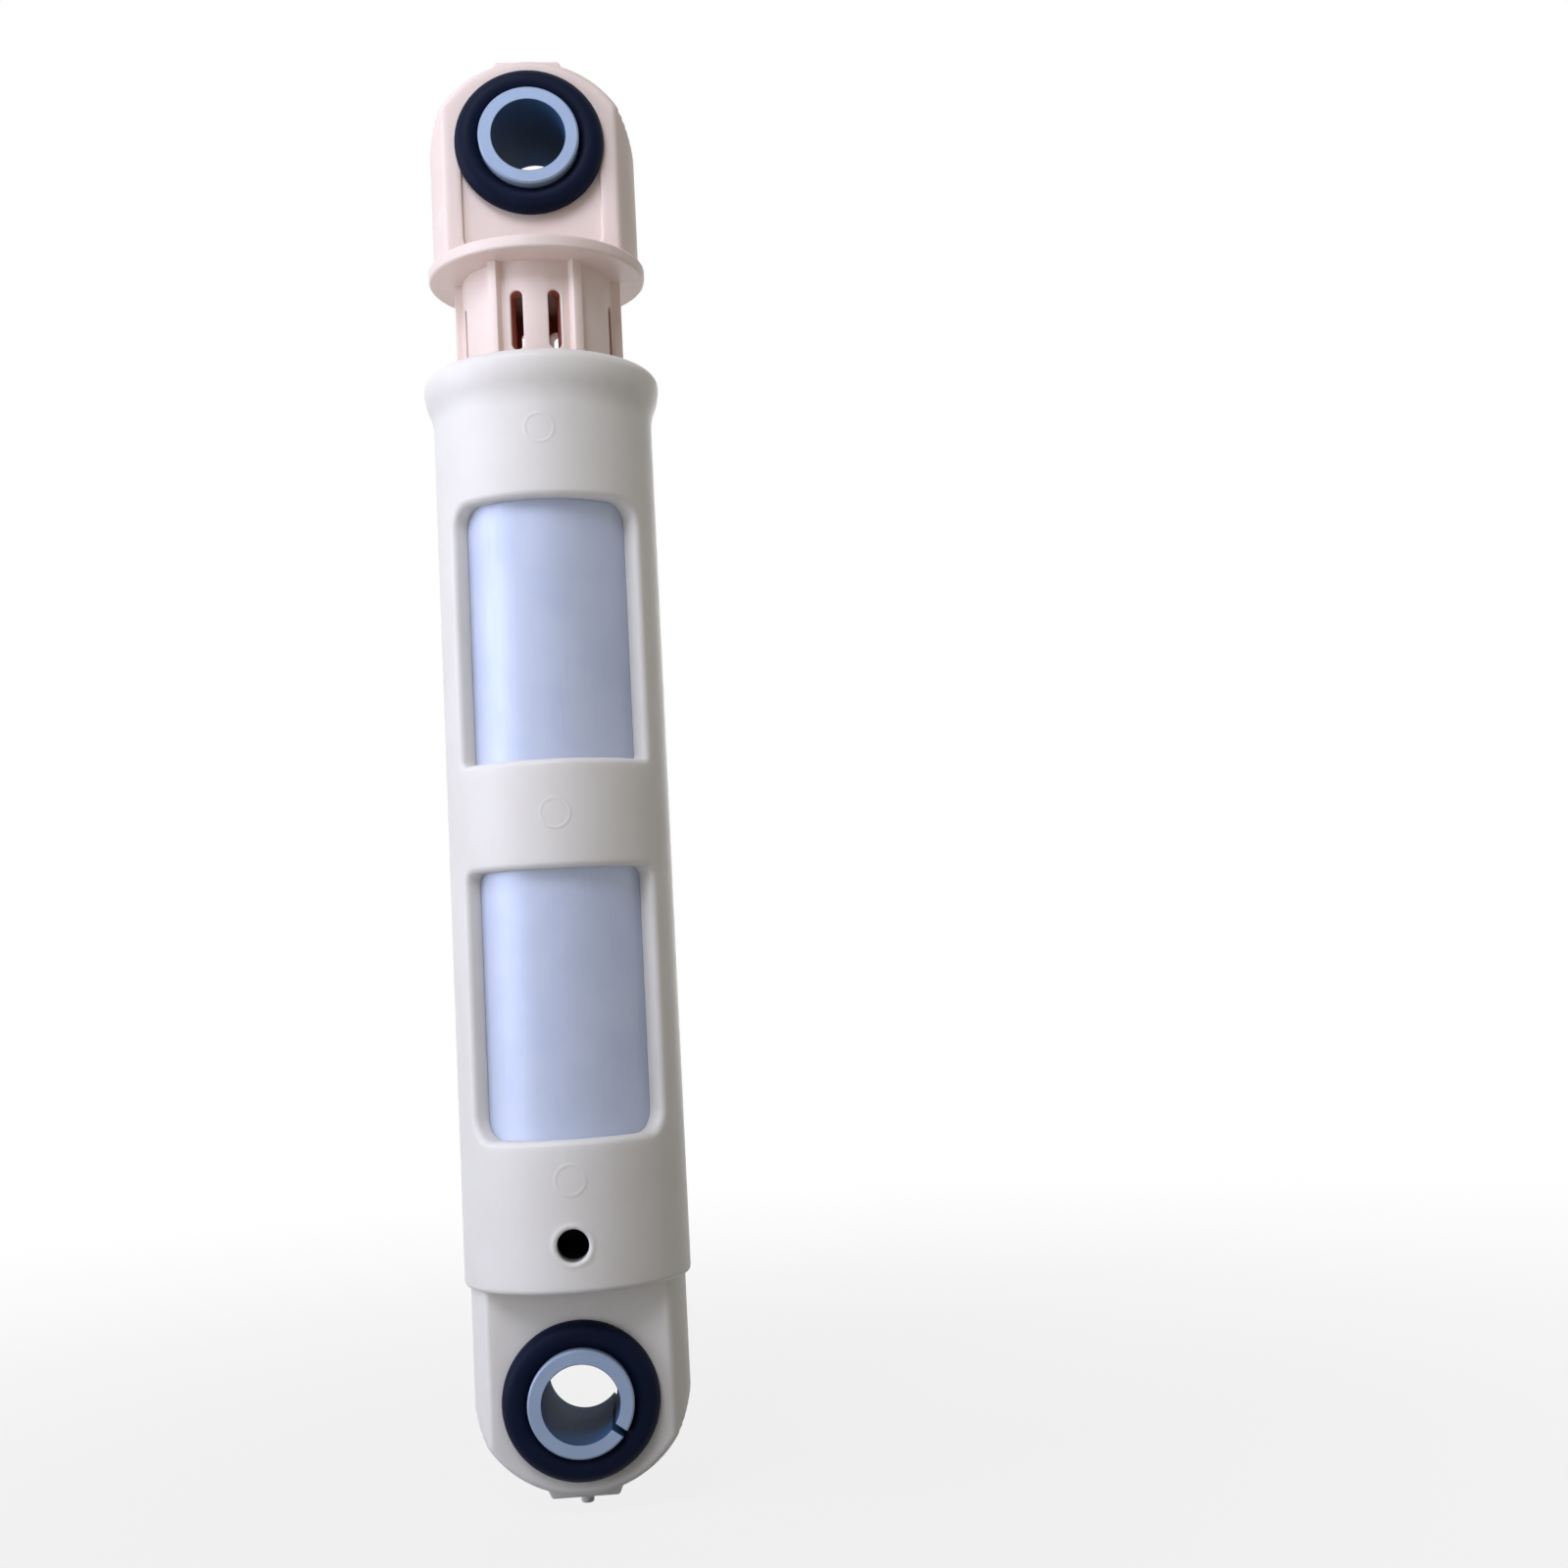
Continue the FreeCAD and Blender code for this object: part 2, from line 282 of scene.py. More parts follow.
@dataclass(frozen=True)
class Opening:
    """A window, slot or hole in a round wall, with rounded corners, in millimetres.

    Attributes:
        bearing: Middle of the opening, in degrees from the front.
        half_width: Half its width along the wall.
        bottom: Height of its lower edge.
        top: Height of its upper edge.
        bottom_corner: Radius of the two lower corners.
        top_corner: Radius of the two upper corners.
    """

    bearing: float
    half_width: float
    bottom: float
    top: float
    bottom_corner: float
    top_corner: float

    def narrowed(self, share: float) -> "Opening":
        """Gives the same opening with a share of its width."""
        return replace(self, half_width=self.half_width * share)

    def outline(self, across: int, up: int, quarter: int, grow: float) -> list[Pair]:
        """Walks round the opening in step with the border of the wall's cell.

        Args:
            across: Chords on the lower and the upper side.
            up: Chords on each upright side.
            quarter: Chords on each half of a corner.
            grow: How far outside the opening the walk goes.

        Returns:
            Points as (distance along the wall, height), from the lower left corner to the right.
        """
        low, high = self.bottom_corner, self.top_corner
        corners = [(low - self.half_width, self.bottom + low, low + grow),
                   (self.half_width - low, self.bottom + low, low + grow),
                   (self.half_width - high, self.top - high, high + grow),
                   (high - self.half_width, self.top - high, high + grow)]
        points: list[Pair] = []
        for side in range(4):
            facing = 90.0 * side - 90.0
            here_x, here_z, here_radius = corners[side]
            next_x, next_z, next_radius = corners[(side + 1) % 4]
            leaving = arc((here_x, here_z), here_radius, facing - 45.0, facing, quarter)
            arriving = arc((next_x, next_z), next_radius, facing, facing + 45.0, quarter)
            straight = (across, up)[side % 2] - 2 * quarter
            points += leaving[:-1]
            points += [blend_pairs(leaving[-1:], arriving[:1], k / straight)[0] for k in range(straight)]
            points += arriving[:-1]
        return points


@dataclass
class RoundWall:
    """One face of a wall round the damper's axis, made cell by cell.

    Attributes:
        maker: The mesh that takes the faces.
        radius: The face's radius in millimetres.
    """

    maker: MeshMaker
    radius: float

    def place(self, pairs: Iterable[Pair], depth: float = 0.0) -> Loop:
        """Adds a row of points given as (bearing, height), sunk below the face by a depth."""
        radius = self.radius - depth
        return self.maker.loop(Axis.UP.place(radius, height, bearing) for bearing, height in pairs)

    def plain(self, bearings: Sequence[float], heights: Sequence[float]) -> None:
        """Fills a cell with a plain grid."""
        rows = [self.place((bearing, height) for bearing in bearings) for height in heights]
        self.maker.skin(rows, closed=False)

    def pierced(self, bearings: Sequence[float], heights: Sequence[float], opening: Opening,
                quarter: int, rings: int, edge: Sequence[Pair] = SHARP) -> Loop:
        """Fills a cell around an opening and shapes the opening's edge.

        Args:
            bearings: The cell's upright grid lines, in degrees.
            heights: The cell's level grid lines.
            opening: What pierces the cell.
            quarter: Chords on each half of a corner.
            rings: Rows of faces between the cell's border and the opening.
            edge: The edge's section as (distance outside the opening, depth below the face).

        Returns:
            The loop at the edge's lower end, where the opening's own wall starts.
        """
        border = [(bearing, heights[0]) for bearing in bearings[:-1]]
        border += [(bearings[-1], height) for height in heights[:-1]]
        border += [(bearing, heights[-1]) for bearing in reversed(bearings[1:])]
        border += [(bearings[0], height) for height in reversed(heights[1:])]

        def outline(grow: float) -> list[Pair]:
            """Gives the opening's outline in bearings and heights."""
            walk = opening.outline(len(bearings) - 1, len(heights) - 1, quarter, grow)
            return [(opening.bearing + math.degrees(along / self.radius), height) for along, height in walk]

        brink = outline(edge[0][0])
        loops = [self.place(blend_pairs(border, brink, share)) for share in spread(0.0, 1.0, rings)]
        loops += [self.place(outline(grow), depth) for grow, depth in edge[1:]]
        self.maker.skin(loops)
        return loops[-1]


@dataclass(frozen=True)
class EyeForm:
    """The eye at each end: a round bar with two flats, a rounded tip and a bush seat.

    Attributes:
        bar_radius: Radius of the bar about the damper's axis.
        half_thickness: Half the distance between the flats.
        end_radius: Radius of the rounded tip.
        reach: Distance from the bore's axis to the tip.
        edge_round: Radius of the edges round the flats.
        seat_radius: Radius of the bush seat.
        root: Length that is sunk into what carries the eye.
        pad_width: Width of the flat pad on the tip.
        pad_height: Height of the pad.
        pad_slope: Width of the pad's sloped sides.
        pad_inset: Distance from the pad to each flat.
        pad_edge: Width of the pad's softened edges.
        pad_edge_steps: Chords across a softened edge.
        bearings: Number of points round the eye.
        edge_steps: Loops on each rounded edge.
        core_steps: Loops between the rounded edges.
    """

    bar_radius: float = 15.65
    half_thickness: float = 8.75
    end_radius: float = 16.0
    reach: float = 13.25
    edge_round: float = 1.0
    seat_radius: float = 9.5
    root: float = 1.5
    pad_width: float = 9.6
    pad_height: float = 0.65
    pad_slope: float = 1.3
    pad_inset: float = 2.0
    pad_edge: float = 0.3
    pad_edge_steps: int = 2
    bearings: int = 192
    edge_steps: int = 6
    core_steps: int = 16

    def side(self, level: float) -> float:
        """Gives half the eye's width at a distance from its middle plane."""
        core = self.half_thickness - self.edge_round
        hub = self.bar_radius - self.edge_round
        if level <= core * self.bar_radius / hub:
            return math.sqrt(self.bar_radius ** 2 - level ** 2)
        return math.sqrt(hub ** 2 - core ** 2) + self.rounding(level)

    def rounding(self, level: float) -> float:
        """Gives how far the rounded edge reaches out at a distance from the middle plane."""
        climb = max(0.0, level - self.half_thickness + self.edge_round)
        return math.sqrt(max(0.0, self.edge_round ** 2 - climb ** 2))

    def outline(self, bearing: float, level: float, foot: float) -> float:
        """Gives the distance from the bore's axis to the eye's skin.

        Args:
            bearing: Degrees about the bore, from the foot.
            level: Distance from the middle plane.
            foot: Distance from the bore's axis to the foot.

        Returns:
            The distance in millimetres.
        """
        across = abs(math.sin(math.radians(bearing)))
        along = math.cos(math.radians(bearing))
        limits = []
        if across > TINY:
            limits.append(self.side(level) / across)
        if along > TINY:
            limits.append(foot / along)
        centre = self.end_radius - self.reach
        tip_radius = self.end_radius - self.edge_round + self.rounding(level)
        tip = centre * along + math.sqrt(tip_radius ** 2 - (centre * across) ** 2)
        if tip * along < centre:
            limits.append(tip)
        return min(limits)

    def levels(self) -> list[float]:
        """Gives the planes of the eye's loops, closer together on the rounded edges."""
        core = self.half_thickness - self.edge_round
        turns = [math.radians(turn) for turn in spread(0.0, 90.0, self.edge_steps)]
        climb = [core + self.edge_round * math.sin(turn) for turn in turns]
        return [-level for level in reversed(climb)] + spread(-core, core, self.core_steps)[1:-1] + climb


@dataclass(frozen=True)
class EyePanel:
    """The shallow panel sunk into both flats of an eye, from near the foot to the bush.

    Attributes:
        width: The panel's width.
        foot_gap: Distance from the panel to the eye's foot.
        depth: How far it is sunk.
        corner: Radius of its two corners near the foot.
    """

    width: float = 20.8
    foot_gap: float = 1.0
    depth: float = 0.6
    corner: float = 1.5

    def outline(self, bearing: float, foot: float) -> float:
        """Gives the distance from the bore's axis to the panel's edge.

        Args:
            bearing: Degrees about the bore, from the foot.
            foot: Distance from the bore's axis to the foot.

        Returns:
            The distance in millimetres.
        """
        half = self.width / 2
        across = abs(math.sin(math.radians(bearing)))
        along = math.cos(math.radians(bearing))
        if along <= TINY:
            return half
        end = foot - self.foot_gap
        reach = min(half / max(across, TINY), end / along)
        hub_x, hub_z = half - self.corner, end - self.corner
        if reach * across < hub_x or reach * along < hub_z:
            return reach
        toward = across * hub_x + along * hub_z
        return toward + math.sqrt(toward ** 2 - hub_x ** 2 - hub_z ** 2 + self.corner ** 2)


class Eye:
    """Builds one eye as loops about its bore."""

    FACE_RINGS = 3
    # Section of the panel's edge as (distance outside the panel, depth below the flat).
    PANEL_EDGE = ((0.30, 0.0), (0.10, 0.06), (0.0, 0.18), (-0.06, 0.46), (-0.26, 0.6))

    def __init__(self, form: EyeForm, end: End, height: float, foot: float, panel: EyePanel | None) -> None:
        """Keeps what one eye is made from.

        Args:
            form: The eye's sizes.
            end: The end of the damper that it is on.
            height: Height of the bore's axis.
            foot: Distance from the bore's axis to what carries the eye.
            panel: The panel in its flats, if it has one.
        """
        self.form = form
        self.end = end
        self.height = height
        self.foot = foot
        self.panel = panel
        self.turns = spread(0.0, 360.0, form.bearings)[:-1]

    def place(self, radii: Sequence[float], level: float) -> list[Point]:
        """Puts points about the bore at a distance from the eye's middle plane."""
        points = []
        for turn, radius in zip(self.turns, radii):
            x = radius * math.sin(math.radians(turn))
            rise = radius * math.cos(math.radians(turn))
            points.append((x, level, self.height - self.end.value * rise))
        return points

    def face(self, side: float) -> list[EyeRow]:
        """Gives the loops across one flat, from the bush seat to the rounded edge.

        Args:
            side: Minus one for the front flat, one for the back.

        Returns:
            Loops as (radii, level).
        """
        form = self.form
        rim = [form.outline(turn, form.half_thickness, self.foot + form.root) for turn in self.turns]
        inner = [form.seat_radius] * len(self.turns)
        loops: list[EyeRow] = []
        level = form.half_thickness
        if self.panel is not None:
            edge = [self.panel.outline(turn, self.foot) for turn in self.turns]
            loops.append((inner, side * (level - self.panel.depth)))
            for grow, rise in reversed(self.PANEL_EDGE):
                loops.append(([radius + grow for radius in edge], side * (level - rise)))
            inner = loops[-1][0]
        first = 0 if self.panel is None else 1
        for share in spread(0.0, 1.0, self.FACE_RINGS)[first:-1]:
            loops.append(([a + (b - a) * share for a, b in zip(inner, rim)], side * level))
        return loops

    def body(self, name: str) -> bpy.types.Object:
        """Builds the eye as a closed ring of loops."""
        form = self.form
        maker = MeshMaker()
        loops = list(self.face(-1.0))
        for level in form.levels():
            skin = [form.outline(turn, abs(level), self.foot + form.root) for turn in self.turns]
            loops.append((skin, level))
        loops += reversed(self.face(1.0))
        maker.skin([maker.loop(self.place(radii, level)) for radii, level in loops], ring=True)
        return maker.finish(name)

    def pad(self, name: str) -> bpy.types.Object:
        """Builds the flat pad on the eye's tip."""
        form = self.form
        half_top = form.pad_width / 2
        half_foot = half_top + form.pad_slope
        depth = form.half_thickness - form.pad_inset
        top = form.reach + form.pad_height
        root = form.reach - half_foot ** 2 / form.end_radius
        profile = [(-half_top, top), (half_top, top), (half_foot, root), (-half_foot, root)]
        maker = MeshMaker()
        ends = [maker.loop((x, level, self.height + self.end.value * z) for x, z in profile)
                for level in (-depth, depth)]
        maker.bridge(*ends)
        for end in ends:
            maker.cap(end)
        maker.soften(form.pad_edge, form.pad_edge_steps)
        return maker.finish(name)


class Signal:
    """A value socket that answers Python's operators with Math nodes."""

    def __init__(self, bench: "ShaderBench", socket: bpy.types.NodeSocket) -> None:
        """Wraps one output socket of a bench."""
        self.bench = bench
        self.socket = socket

    def __add__(self, other: "Value") -> "Signal":
        """Adds."""
        return self.bench.maths("ADD", self, other)

    __radd__ = __add__

    def __sub__(self, other: "Value") -> "Signal":
        """Subtracts."""
        return self.bench.maths("SUBTRACT", self, other)

    def __rsub__(self, other: "Value") -> "Signal":
        """Subtracts this from the other."""
        return self.bench.maths("SUBTRACT", other, self)

    def __mul__(self, other: "Value") -> "Signal":
        """Multiplies."""
        return self.bench.maths("MULTIPLY", self, other)

    __rmul__ = __mul__

    def __pow__(self, other: "Value") -> "Signal":
        """Raises to a power."""
        return self.bench.maths("POWER", self, other)

    def __abs__(self) -> "Signal":
        """Drops the sign."""
        return self.bench.maths("ABSOLUTE", self)

    def ramp(self, low: float, high: float) -> "Signal":
        """Rises smoothly from 0 at low to 1 at high, or falls where high is the smaller."""
        node = self.bench.node("ShaderNodeMapRange", {"interpolation_type": "SMOOTHSTEP"},
                               {"Value": self, "From Min": low, "From Max": high})
        return Signal(self.bench, node.outputs["Result"])


Value = Union[Signal, float]


class ShaderBench:
    """Builds one node tree."""

    NOISE_ROUGHNESS = 0.55

    def __init__(self, tree: bpy.types.NodeTree) -> None:
        """Empties a node tree to build in."""
        self.tree = tree
        tree.nodes.clear()

    @classmethod
    def for_material(cls, name: str) -> tuple["ShaderBench", bpy.types.Material]:
        """Makes a material with an empty tree.

        Args:
            name: The material's name.

        Returns:
            The bench and the material.
        """
        material = bpy.data.materials.new(name)
        material.use_nodes = True
        return cls(material.node_tree), material

    def fill(self, socket: bpy.types.NodeSocket, value: object) -> None:
        """Links a signal or an output to an input, or sets the input to a plain value."""
        if isinstance(value, Signal):
            self.tree.links.new(value.socket, socket)
        elif isinstance(value, bpy.types.NodeSocket):
            self.tree.links.new(value, socket)
        else:
            socket.default_value = value

    def node(self, kind: str, settings: dict[str, Setting] | None = None,
             sockets: dict[str, object] | None = None) -> bpy.types.Node:
        """Adds a node, sets its settings and then fills its sockets.

        Args:
            kind: The node's type.
            settings: Values of the node's own properties.
            sockets: Values or links by the socket's identifier or name.

        Returns:
            The node.
        """
        node = self.tree.nodes.new(kind)
        for name, setting in (settings or {}).items():
            setattr(node, name, setting)
        for name, value in (sockets or {}).items():
            by_identifier = [socket for socket in node.inputs if socket.identifier == name]
            by_name = [socket for socket in node.inputs if socket.name == name]
            self.fill((by_identifier or by_name)[0], value)
        return node

    def maths(self, operation: str, *values: Value) -> Signal:
        """Adds a Math node on values."""
        node = self.node("ShaderNodeMath", {"operation": operation})
        for socket, value in zip(node.inputs, values):
            self.fill(socket, value)
        return Signal(self, node.outputs[0])

    def mix(self, share: Signal, first: bpy.types.Node, second: bpy.types.Node) -> bpy.types.Node:
        """Mixes two shaders by the second one's share."""
        node = self.node("ShaderNodeMixShader", None, {"Fac": share})
        self.fill(node.inputs[1], first.outputs[0])
        self.fill(node.inputs[2], second.outputs[0])
        return node

    def place(self, stretch: Point = EVEN) -> bpy.types.NodeSocket:
        """Gives the object's own coordinates in millimetres, stretched along its axes."""
        coords = self.node("ShaderNodeTexCoord").outputs["Object"]
        scaled = self.node("ShaderNodeVectorMath", {"operation": "MULTIPLY"}, {"Vector": coords})
        self.fill(scaled.inputs[1], tuple(factor / MM for factor in stretch))
        return scaled.outputs["Vector"]

    def axes(self) -> tuple[Signal, Signal, Signal]:
        """Gives the object's own x, y and z in millimetres."""
        split = self.node("ShaderNodeSeparateXYZ", None, {"Vector": self.place()})
        return tuple(Signal(self, split.outputs[name]) for name in "XYZ")

    def noise(self, size: float, detail: Detail = Detail.PLAIN, stretch: Point = EVEN) -> Signal:
        """Gives soft noise.

        Args:
            size: Rough size of its features in millimetres.
            detail: How many sizes of feature it mixes.
            stretch: Squeeze of its features along each axis.

        Returns:
            The noise, mostly between 0.3 and 0.7.
        """
        node = self.node("ShaderNodeTexNoise", {"noise_dimensions": "3D"}, {
            "Vector": self.place(stretch),
            "Scale": 1.0 / size,
            "Detail": detail.value,
            "Roughness": self.NOISE_ROUGHNESS,
        })
        return Signal(self, node.outputs["Fac"])

    def cells(self, size: float) -> Signal:
        """Gives the distance to the middle of round cells of a size in millimetres."""
        node = self.node("ShaderNodeTexVoronoi", {"feature": "F1"},
                         {"Vector": self.place(), "Scale": 1.0 / size})
        return Signal(self, node.outputs["Distance"])

    def edges(self) -> Signal:
        """Gives how far a place stands out from what lies round it, about 0.5 on the flat."""
        return Signal(self, self.node("ShaderNodeNewGeometry").outputs["Pointiness"])

    def blend(self, share: Value, first: object, second: object) -> bpy.types.NodeSocket:
        """Mixes two colours, given as sockets or as red, green and blue."""
        def filled(colour: object) -> object:
            """Adds alpha to a plain colour."""
            return (*colour, 1.0) if isinstance(colour, tuple) else colour

        node = self.node("ShaderNodeMix", {"data_type": "RGBA"},
                         {"Factor_Float": share, "A_Color": filled(first), "B_Color": filled(second)})
        return next(s for s in node.outputs if s.identifier == "Result_Color")

    def bump(self, height: Signal) -> bpy.types.NodeSocket:
        """Turns a height in millimetres into a normal."""
        node = self.node("ShaderNodeBump", None, {"Strength": 1.0, "Distance": MM, "Height": height})
        return node.outputs["Normal"]

    def surface(self, sockets: dict[str, object]) -> None:
        """Ends the tree with a principled surface."""
        shader = self.node("ShaderNodeBsdfPrincipled", None, sockets)
        self.output(shader)

    def output(self, shader: bpy.types.Node) -> None:
        """Ends a material's tree with a shader."""
        self.node("ShaderNodeOutputMaterial", None, {"Surface": shader.outputs[0]})


@dataclass(frozen=True)
class MouldedPlastic:
    """Satin moulded plastic with a fine grain, faint clouds and a parting line.

    Attributes:
        name: The material's name.
        colour: Main colour.
        cloud: Colour of the faint clouds.
        edge: Colour of rubbed edges.
        hollow_shade_and_grease: Painted shade in the hollow, plain in the housing, with a reddish grease
            tone in the plunger.
        hollow_radius: Radius within which the hollow shows.
        hollow: Lowest and highest level of the hollow.
        parting_radius: Distance from the axis beyond which the parting line shows.
        marks: Heights of the plain round marks that the mould's pins leave at front and back.
        roughness: Middle roughness.
        glow: Share of the light that passes into the plastic.
        glow_colour: How far each colour of that light goes, as a share of the depth.
        glow_depth: Depth that it reaches.
    """

    name: str
    colour: Colour
    cloud: Colour
    edge: Colour
    hollow_shade_and_grease: Colour
    hollow_radius: float
    hollow: Pair
    parting_radius: float
    marks: tuple[float, ...]
    roughness: float
    glow: float
    glow_colour: Colour
    glow_depth: float

    GLOSS = 0.42
    DRIFT_SIZE = 14.0
    FLECK_SIZE = 1.6
    GRAIN_SIZE = 0.30
    STREAK_SIZE = 1.2
    STREAK_STRETCH = (1.0, 1.0, 0.05)
    HOLLOW_BORDER = 0.3
    PARTING_HALF = (0.16, 0.04)
    PARTING_START = 0.2
    MARK_RADIUS = 2.0
    MARK_WIDTH = 0.25
    MARK_SLOPE = 0.2
    # Heights of the relief in millimetres.
    GRAIN_HEIGHT = 0.010
    FLECK_HEIGHT = 0.006
    PARTING_HEIGHT = 0.03
    MARK_HEIGHT = 0.05

    def hollowed(self, x: Signal, y: Signal, z: Signal) -> Signal:
        """Gives 1 in the hollow that is painted darker, else 0, from the object's own coordinates."""
        low, high = self.hollow
        border = self.HOLLOW_BORDER
        reach = (x * x + y * y) ** 0.5
        inside = reach.ramp(self.hollow_radius + border, self.hollow_radius)
        return inside * z.ramp(low - border, low) * z.ramp(high + border, high)

    def marked(self, x: Signal, z: Signal, level: float) -> Signal:
        """Gives 1 on the ring that a mould pin leaves at a height, else 0."""
        inner, outer = self.MARK_RADIUS, self.MARK_RADIUS + self.MARK_WIDTH
        rise = z - level
        pin = (x * x + rise * rise) ** 0.5
        return pin.ramp(inner - self.MARK_SLOPE, inner) * pin.ramp(outer + self.MARK_SLOPE, outer)

    def material(self) -> bpy.types.Material:
        """Builds the material."""
        bench, material = ShaderBench.for_material(self.name)
        x, y, z = bench.axes()
        drift = bench.noise(self.DRIFT_SIZE, Detail.RICH)
        fleck = bench.noise(self.FLECK_SIZE, Detail.RICH)
        grain = bench.noise(self.GRAIN_SIZE)
        streak = bench.noise(self.STREAK_SIZE, stretch=self.STREAK_STRETCH)
        clouded = bench.blend(0.75 * drift.ramp(0.35, 0.70) + 0.25 * streak, self.colour, self.cloud)
        worn = 0.5 * bench.edges().ramp(0.52, 0.60) * fleck.ramp(0.3, 0.6)
        rubbed = bench.blend(worn, clouded, self.edge)
        # Painted shade: the hollow inside is painted darker, with a reddish grease tone in the plunger.
        colour = bench.blend(self.hollowed(x, y, z), rubbed, self.hollow_shade_and_grease)
        beyond = abs(x).ramp(self.parting_radius, self.parting_radius + self.PARTING_START)
        ridge = abs(y).ramp(*self.PARTING_HALF) * beyond
        height = self.GRAIN_HEIGHT * grain + self.PARTING_HEIGHT * ridge + self.FLECK_HEIGHT * fleck
        for level in self.marks:
            height = height + self.MARK_HEIGHT * self.marked(x, z, level)
        bench.surface({
            "Base Color": colour,
            "Roughness": self.roughness - 0.06 + 0.10 * grain + 0.06 * drift,
            "Specular IOR Level": self.GLOSS,
            "Subsurface Weight": self.glow,
            "Subsurface Radius": self.glow_colour,
            "Subsurface Scale": self.glow_depth * MM,
            "Normal": bench.bump(height),
        })
        return material


@dataclass(frozen=True)
class ZincSteel:
    """Zinc-plated steel with draw marks and a faint passivated bloom.

    Attributes:
        name: The material's name.
        colour: Main colour.
        bloom: Colour of the passivated patches.
        stretch: Squeeze of the draw marks along each axis.
        metallic: How metallic the surface is.
        roughness: Middle roughness.
        gloss: Strength of the plain reflection.
    """

    name: str
    colour: Colour
    bloom: Colour
    stretch: Point
    metallic: float
    roughness: float
    gloss: float

    DRIFT_SIZE = 9.0
    MARK_SIZE = 0.35
    FINE_SIZE = 0.08
    SCORE_COLOUR = (0.30, 0.32, 0.38)
    # Heights of the relief in millimetres.
    MARK_HEIGHT = 0.004
    FINE_HEIGHT = 0.002

    def dressed(self, bench: ShaderBench, painted_shade: Value, shade_colour: Colour) -> None:
        """Ends a tree with the steel, with painted shade where a mask says so.

        Args:
            bench: The tree.
            painted_shade: Mask of the painted shade.
            shade_colour: Colour of the painted shade.
        """
        drift = bench.noise(self.DRIFT_SIZE, Detail.RICH)
        marks = bench.noise(self.MARK_SIZE, Detail.RICH, self.stretch)
        fine = bench.noise(self.FINE_SIZE, Detail.PLAIN, self.stretch)
        plated = bench.blend(0.8 * drift.ramp(0.35, 0.68), self.colour, self.bloom)
        scored = bench.blend(0.10 * marks.ramp(0.60, 0.72), plated, self.SCORE_COLOUR)
        bench.surface({
            "Base Color": bench.blend(painted_shade, scored, shade_colour),
            "Metallic": self.metallic * (1.0 - painted_shade),
            "Roughness": self.roughness - 0.05 + 0.12 * marks + 0.05 * drift + 0.3 * painted_shade,
            "Specular IOR Level": self.gloss,
            "Normal": bench.bump(self.MARK_HEIGHT * marks + self.FINE_HEIGHT * fine),
        })

    def material(self) -> bpy.types.Material:
        """Builds the material."""
        bench, material = ShaderBench.for_material(self.name)
        self.dressed(bench, 0.0, self.colour)
        return material


@dataclass(frozen=True)
class SleeveSteel(ZincSteel):
    """Zinc-plated steel with a painted dark navy shade in its bore and on the walls of an open seam.

    Attributes:
        bore_shade_colour: Colour of the painted shade in the bore and on the open seam's walls, a dark navy.
        bore_radius: Radius of the bore in millimetres.
        bore_height: Height of the bore's axis in millimetres.
        seam_turn: Turn of the seam from the top, in degrees.
        seam_half: Half of the open seam's width in millimetres, or 0 where it is closed.
    """

    bore_shade_colour: Colour
    bore_radius: float
    bore_height: float
    seam_turn: float
    seam_half: float

    # Distances outside the bore and the seam's walls over which the painted shade fades.
    BORE_FADE = (0.12, 0.02)
    SEAM_FADE = (0.07, 0.02)

    def material(self) -> bpy.types.Material:
        """Builds the material."""
        bench, material = ShaderBench.for_material(self.name)
        x, _, z = bench.axes()
        rise = z - self.bore_height
        reach = (x * x + rise * rise) ** 0.5
        # Painted shade: the bore and the open seam's walls are painted dark navy.
        painted_shade = reach.ramp(*(self.bore_radius + fade for fade in self.BORE_FADE))
        if self.seam_half:
            side, _, ahead = Axis.BORE.place(1.0, 0.0, self.seam_turn)
            near = abs(x * ahead - rise * side).ramp(*(self.seam_half + fade for fade in self.SEAM_FADE))
            seam_shade = near * (x * side + rise * ahead).ramp(0.0, 1.0)
            painted_shade = bench.maths("MAXIMUM", painted_shade, seam_shade)
        self.dressed(bench, painted_shade, self.bore_shade_colour)
        return material


@dataclass(frozen=True)
class MouldedRubber:
    """Black rubber with a faint bloom and a fine moulded texture.

    Attributes:
        name: The material's name.
        colour: Main colour.
        bloom: Colour of the dry bloom on its high places.
        roughness: Middle roughness.
    """

    name: str
    colour: Colour
    bloom: Colour
    roughness: float

    GLOSS = 0.07
    DRIFT_SIZE = 5.0
    GRAIN_SIZE = 0.22
    # Heights of the relief in millimetres.
    DRIFT_HEIGHT = 0.02
    GRAIN_HEIGHT = 0.012

    def material(self) -> bpy.types.Material:
        """Builds the material."""
        bench, material = ShaderBench.for_material(self.name)
        drift = bench.noise(self.DRIFT_SIZE, Detail.RICH)
        grain = bench.noise(self.GRAIN_SIZE, Detail.RICH)
        dust = 0.35 * drift.ramp(0.45, 0.75) + 0.35 * bench.edges().ramp(0.51, 0.58)
        bench.surface({
            "Base Color": bench.blend(dust, self.colour, self.bloom),
            "Roughness": self.roughness - 0.08 + 0.14 * grain + 0.08 * drift,
            "Specular IOR Level": self.GLOSS,
            "Normal": bench.bump(self.GRAIN_HEIGHT * grain + self.DRIFT_HEIGHT * drift),
        })
        return material


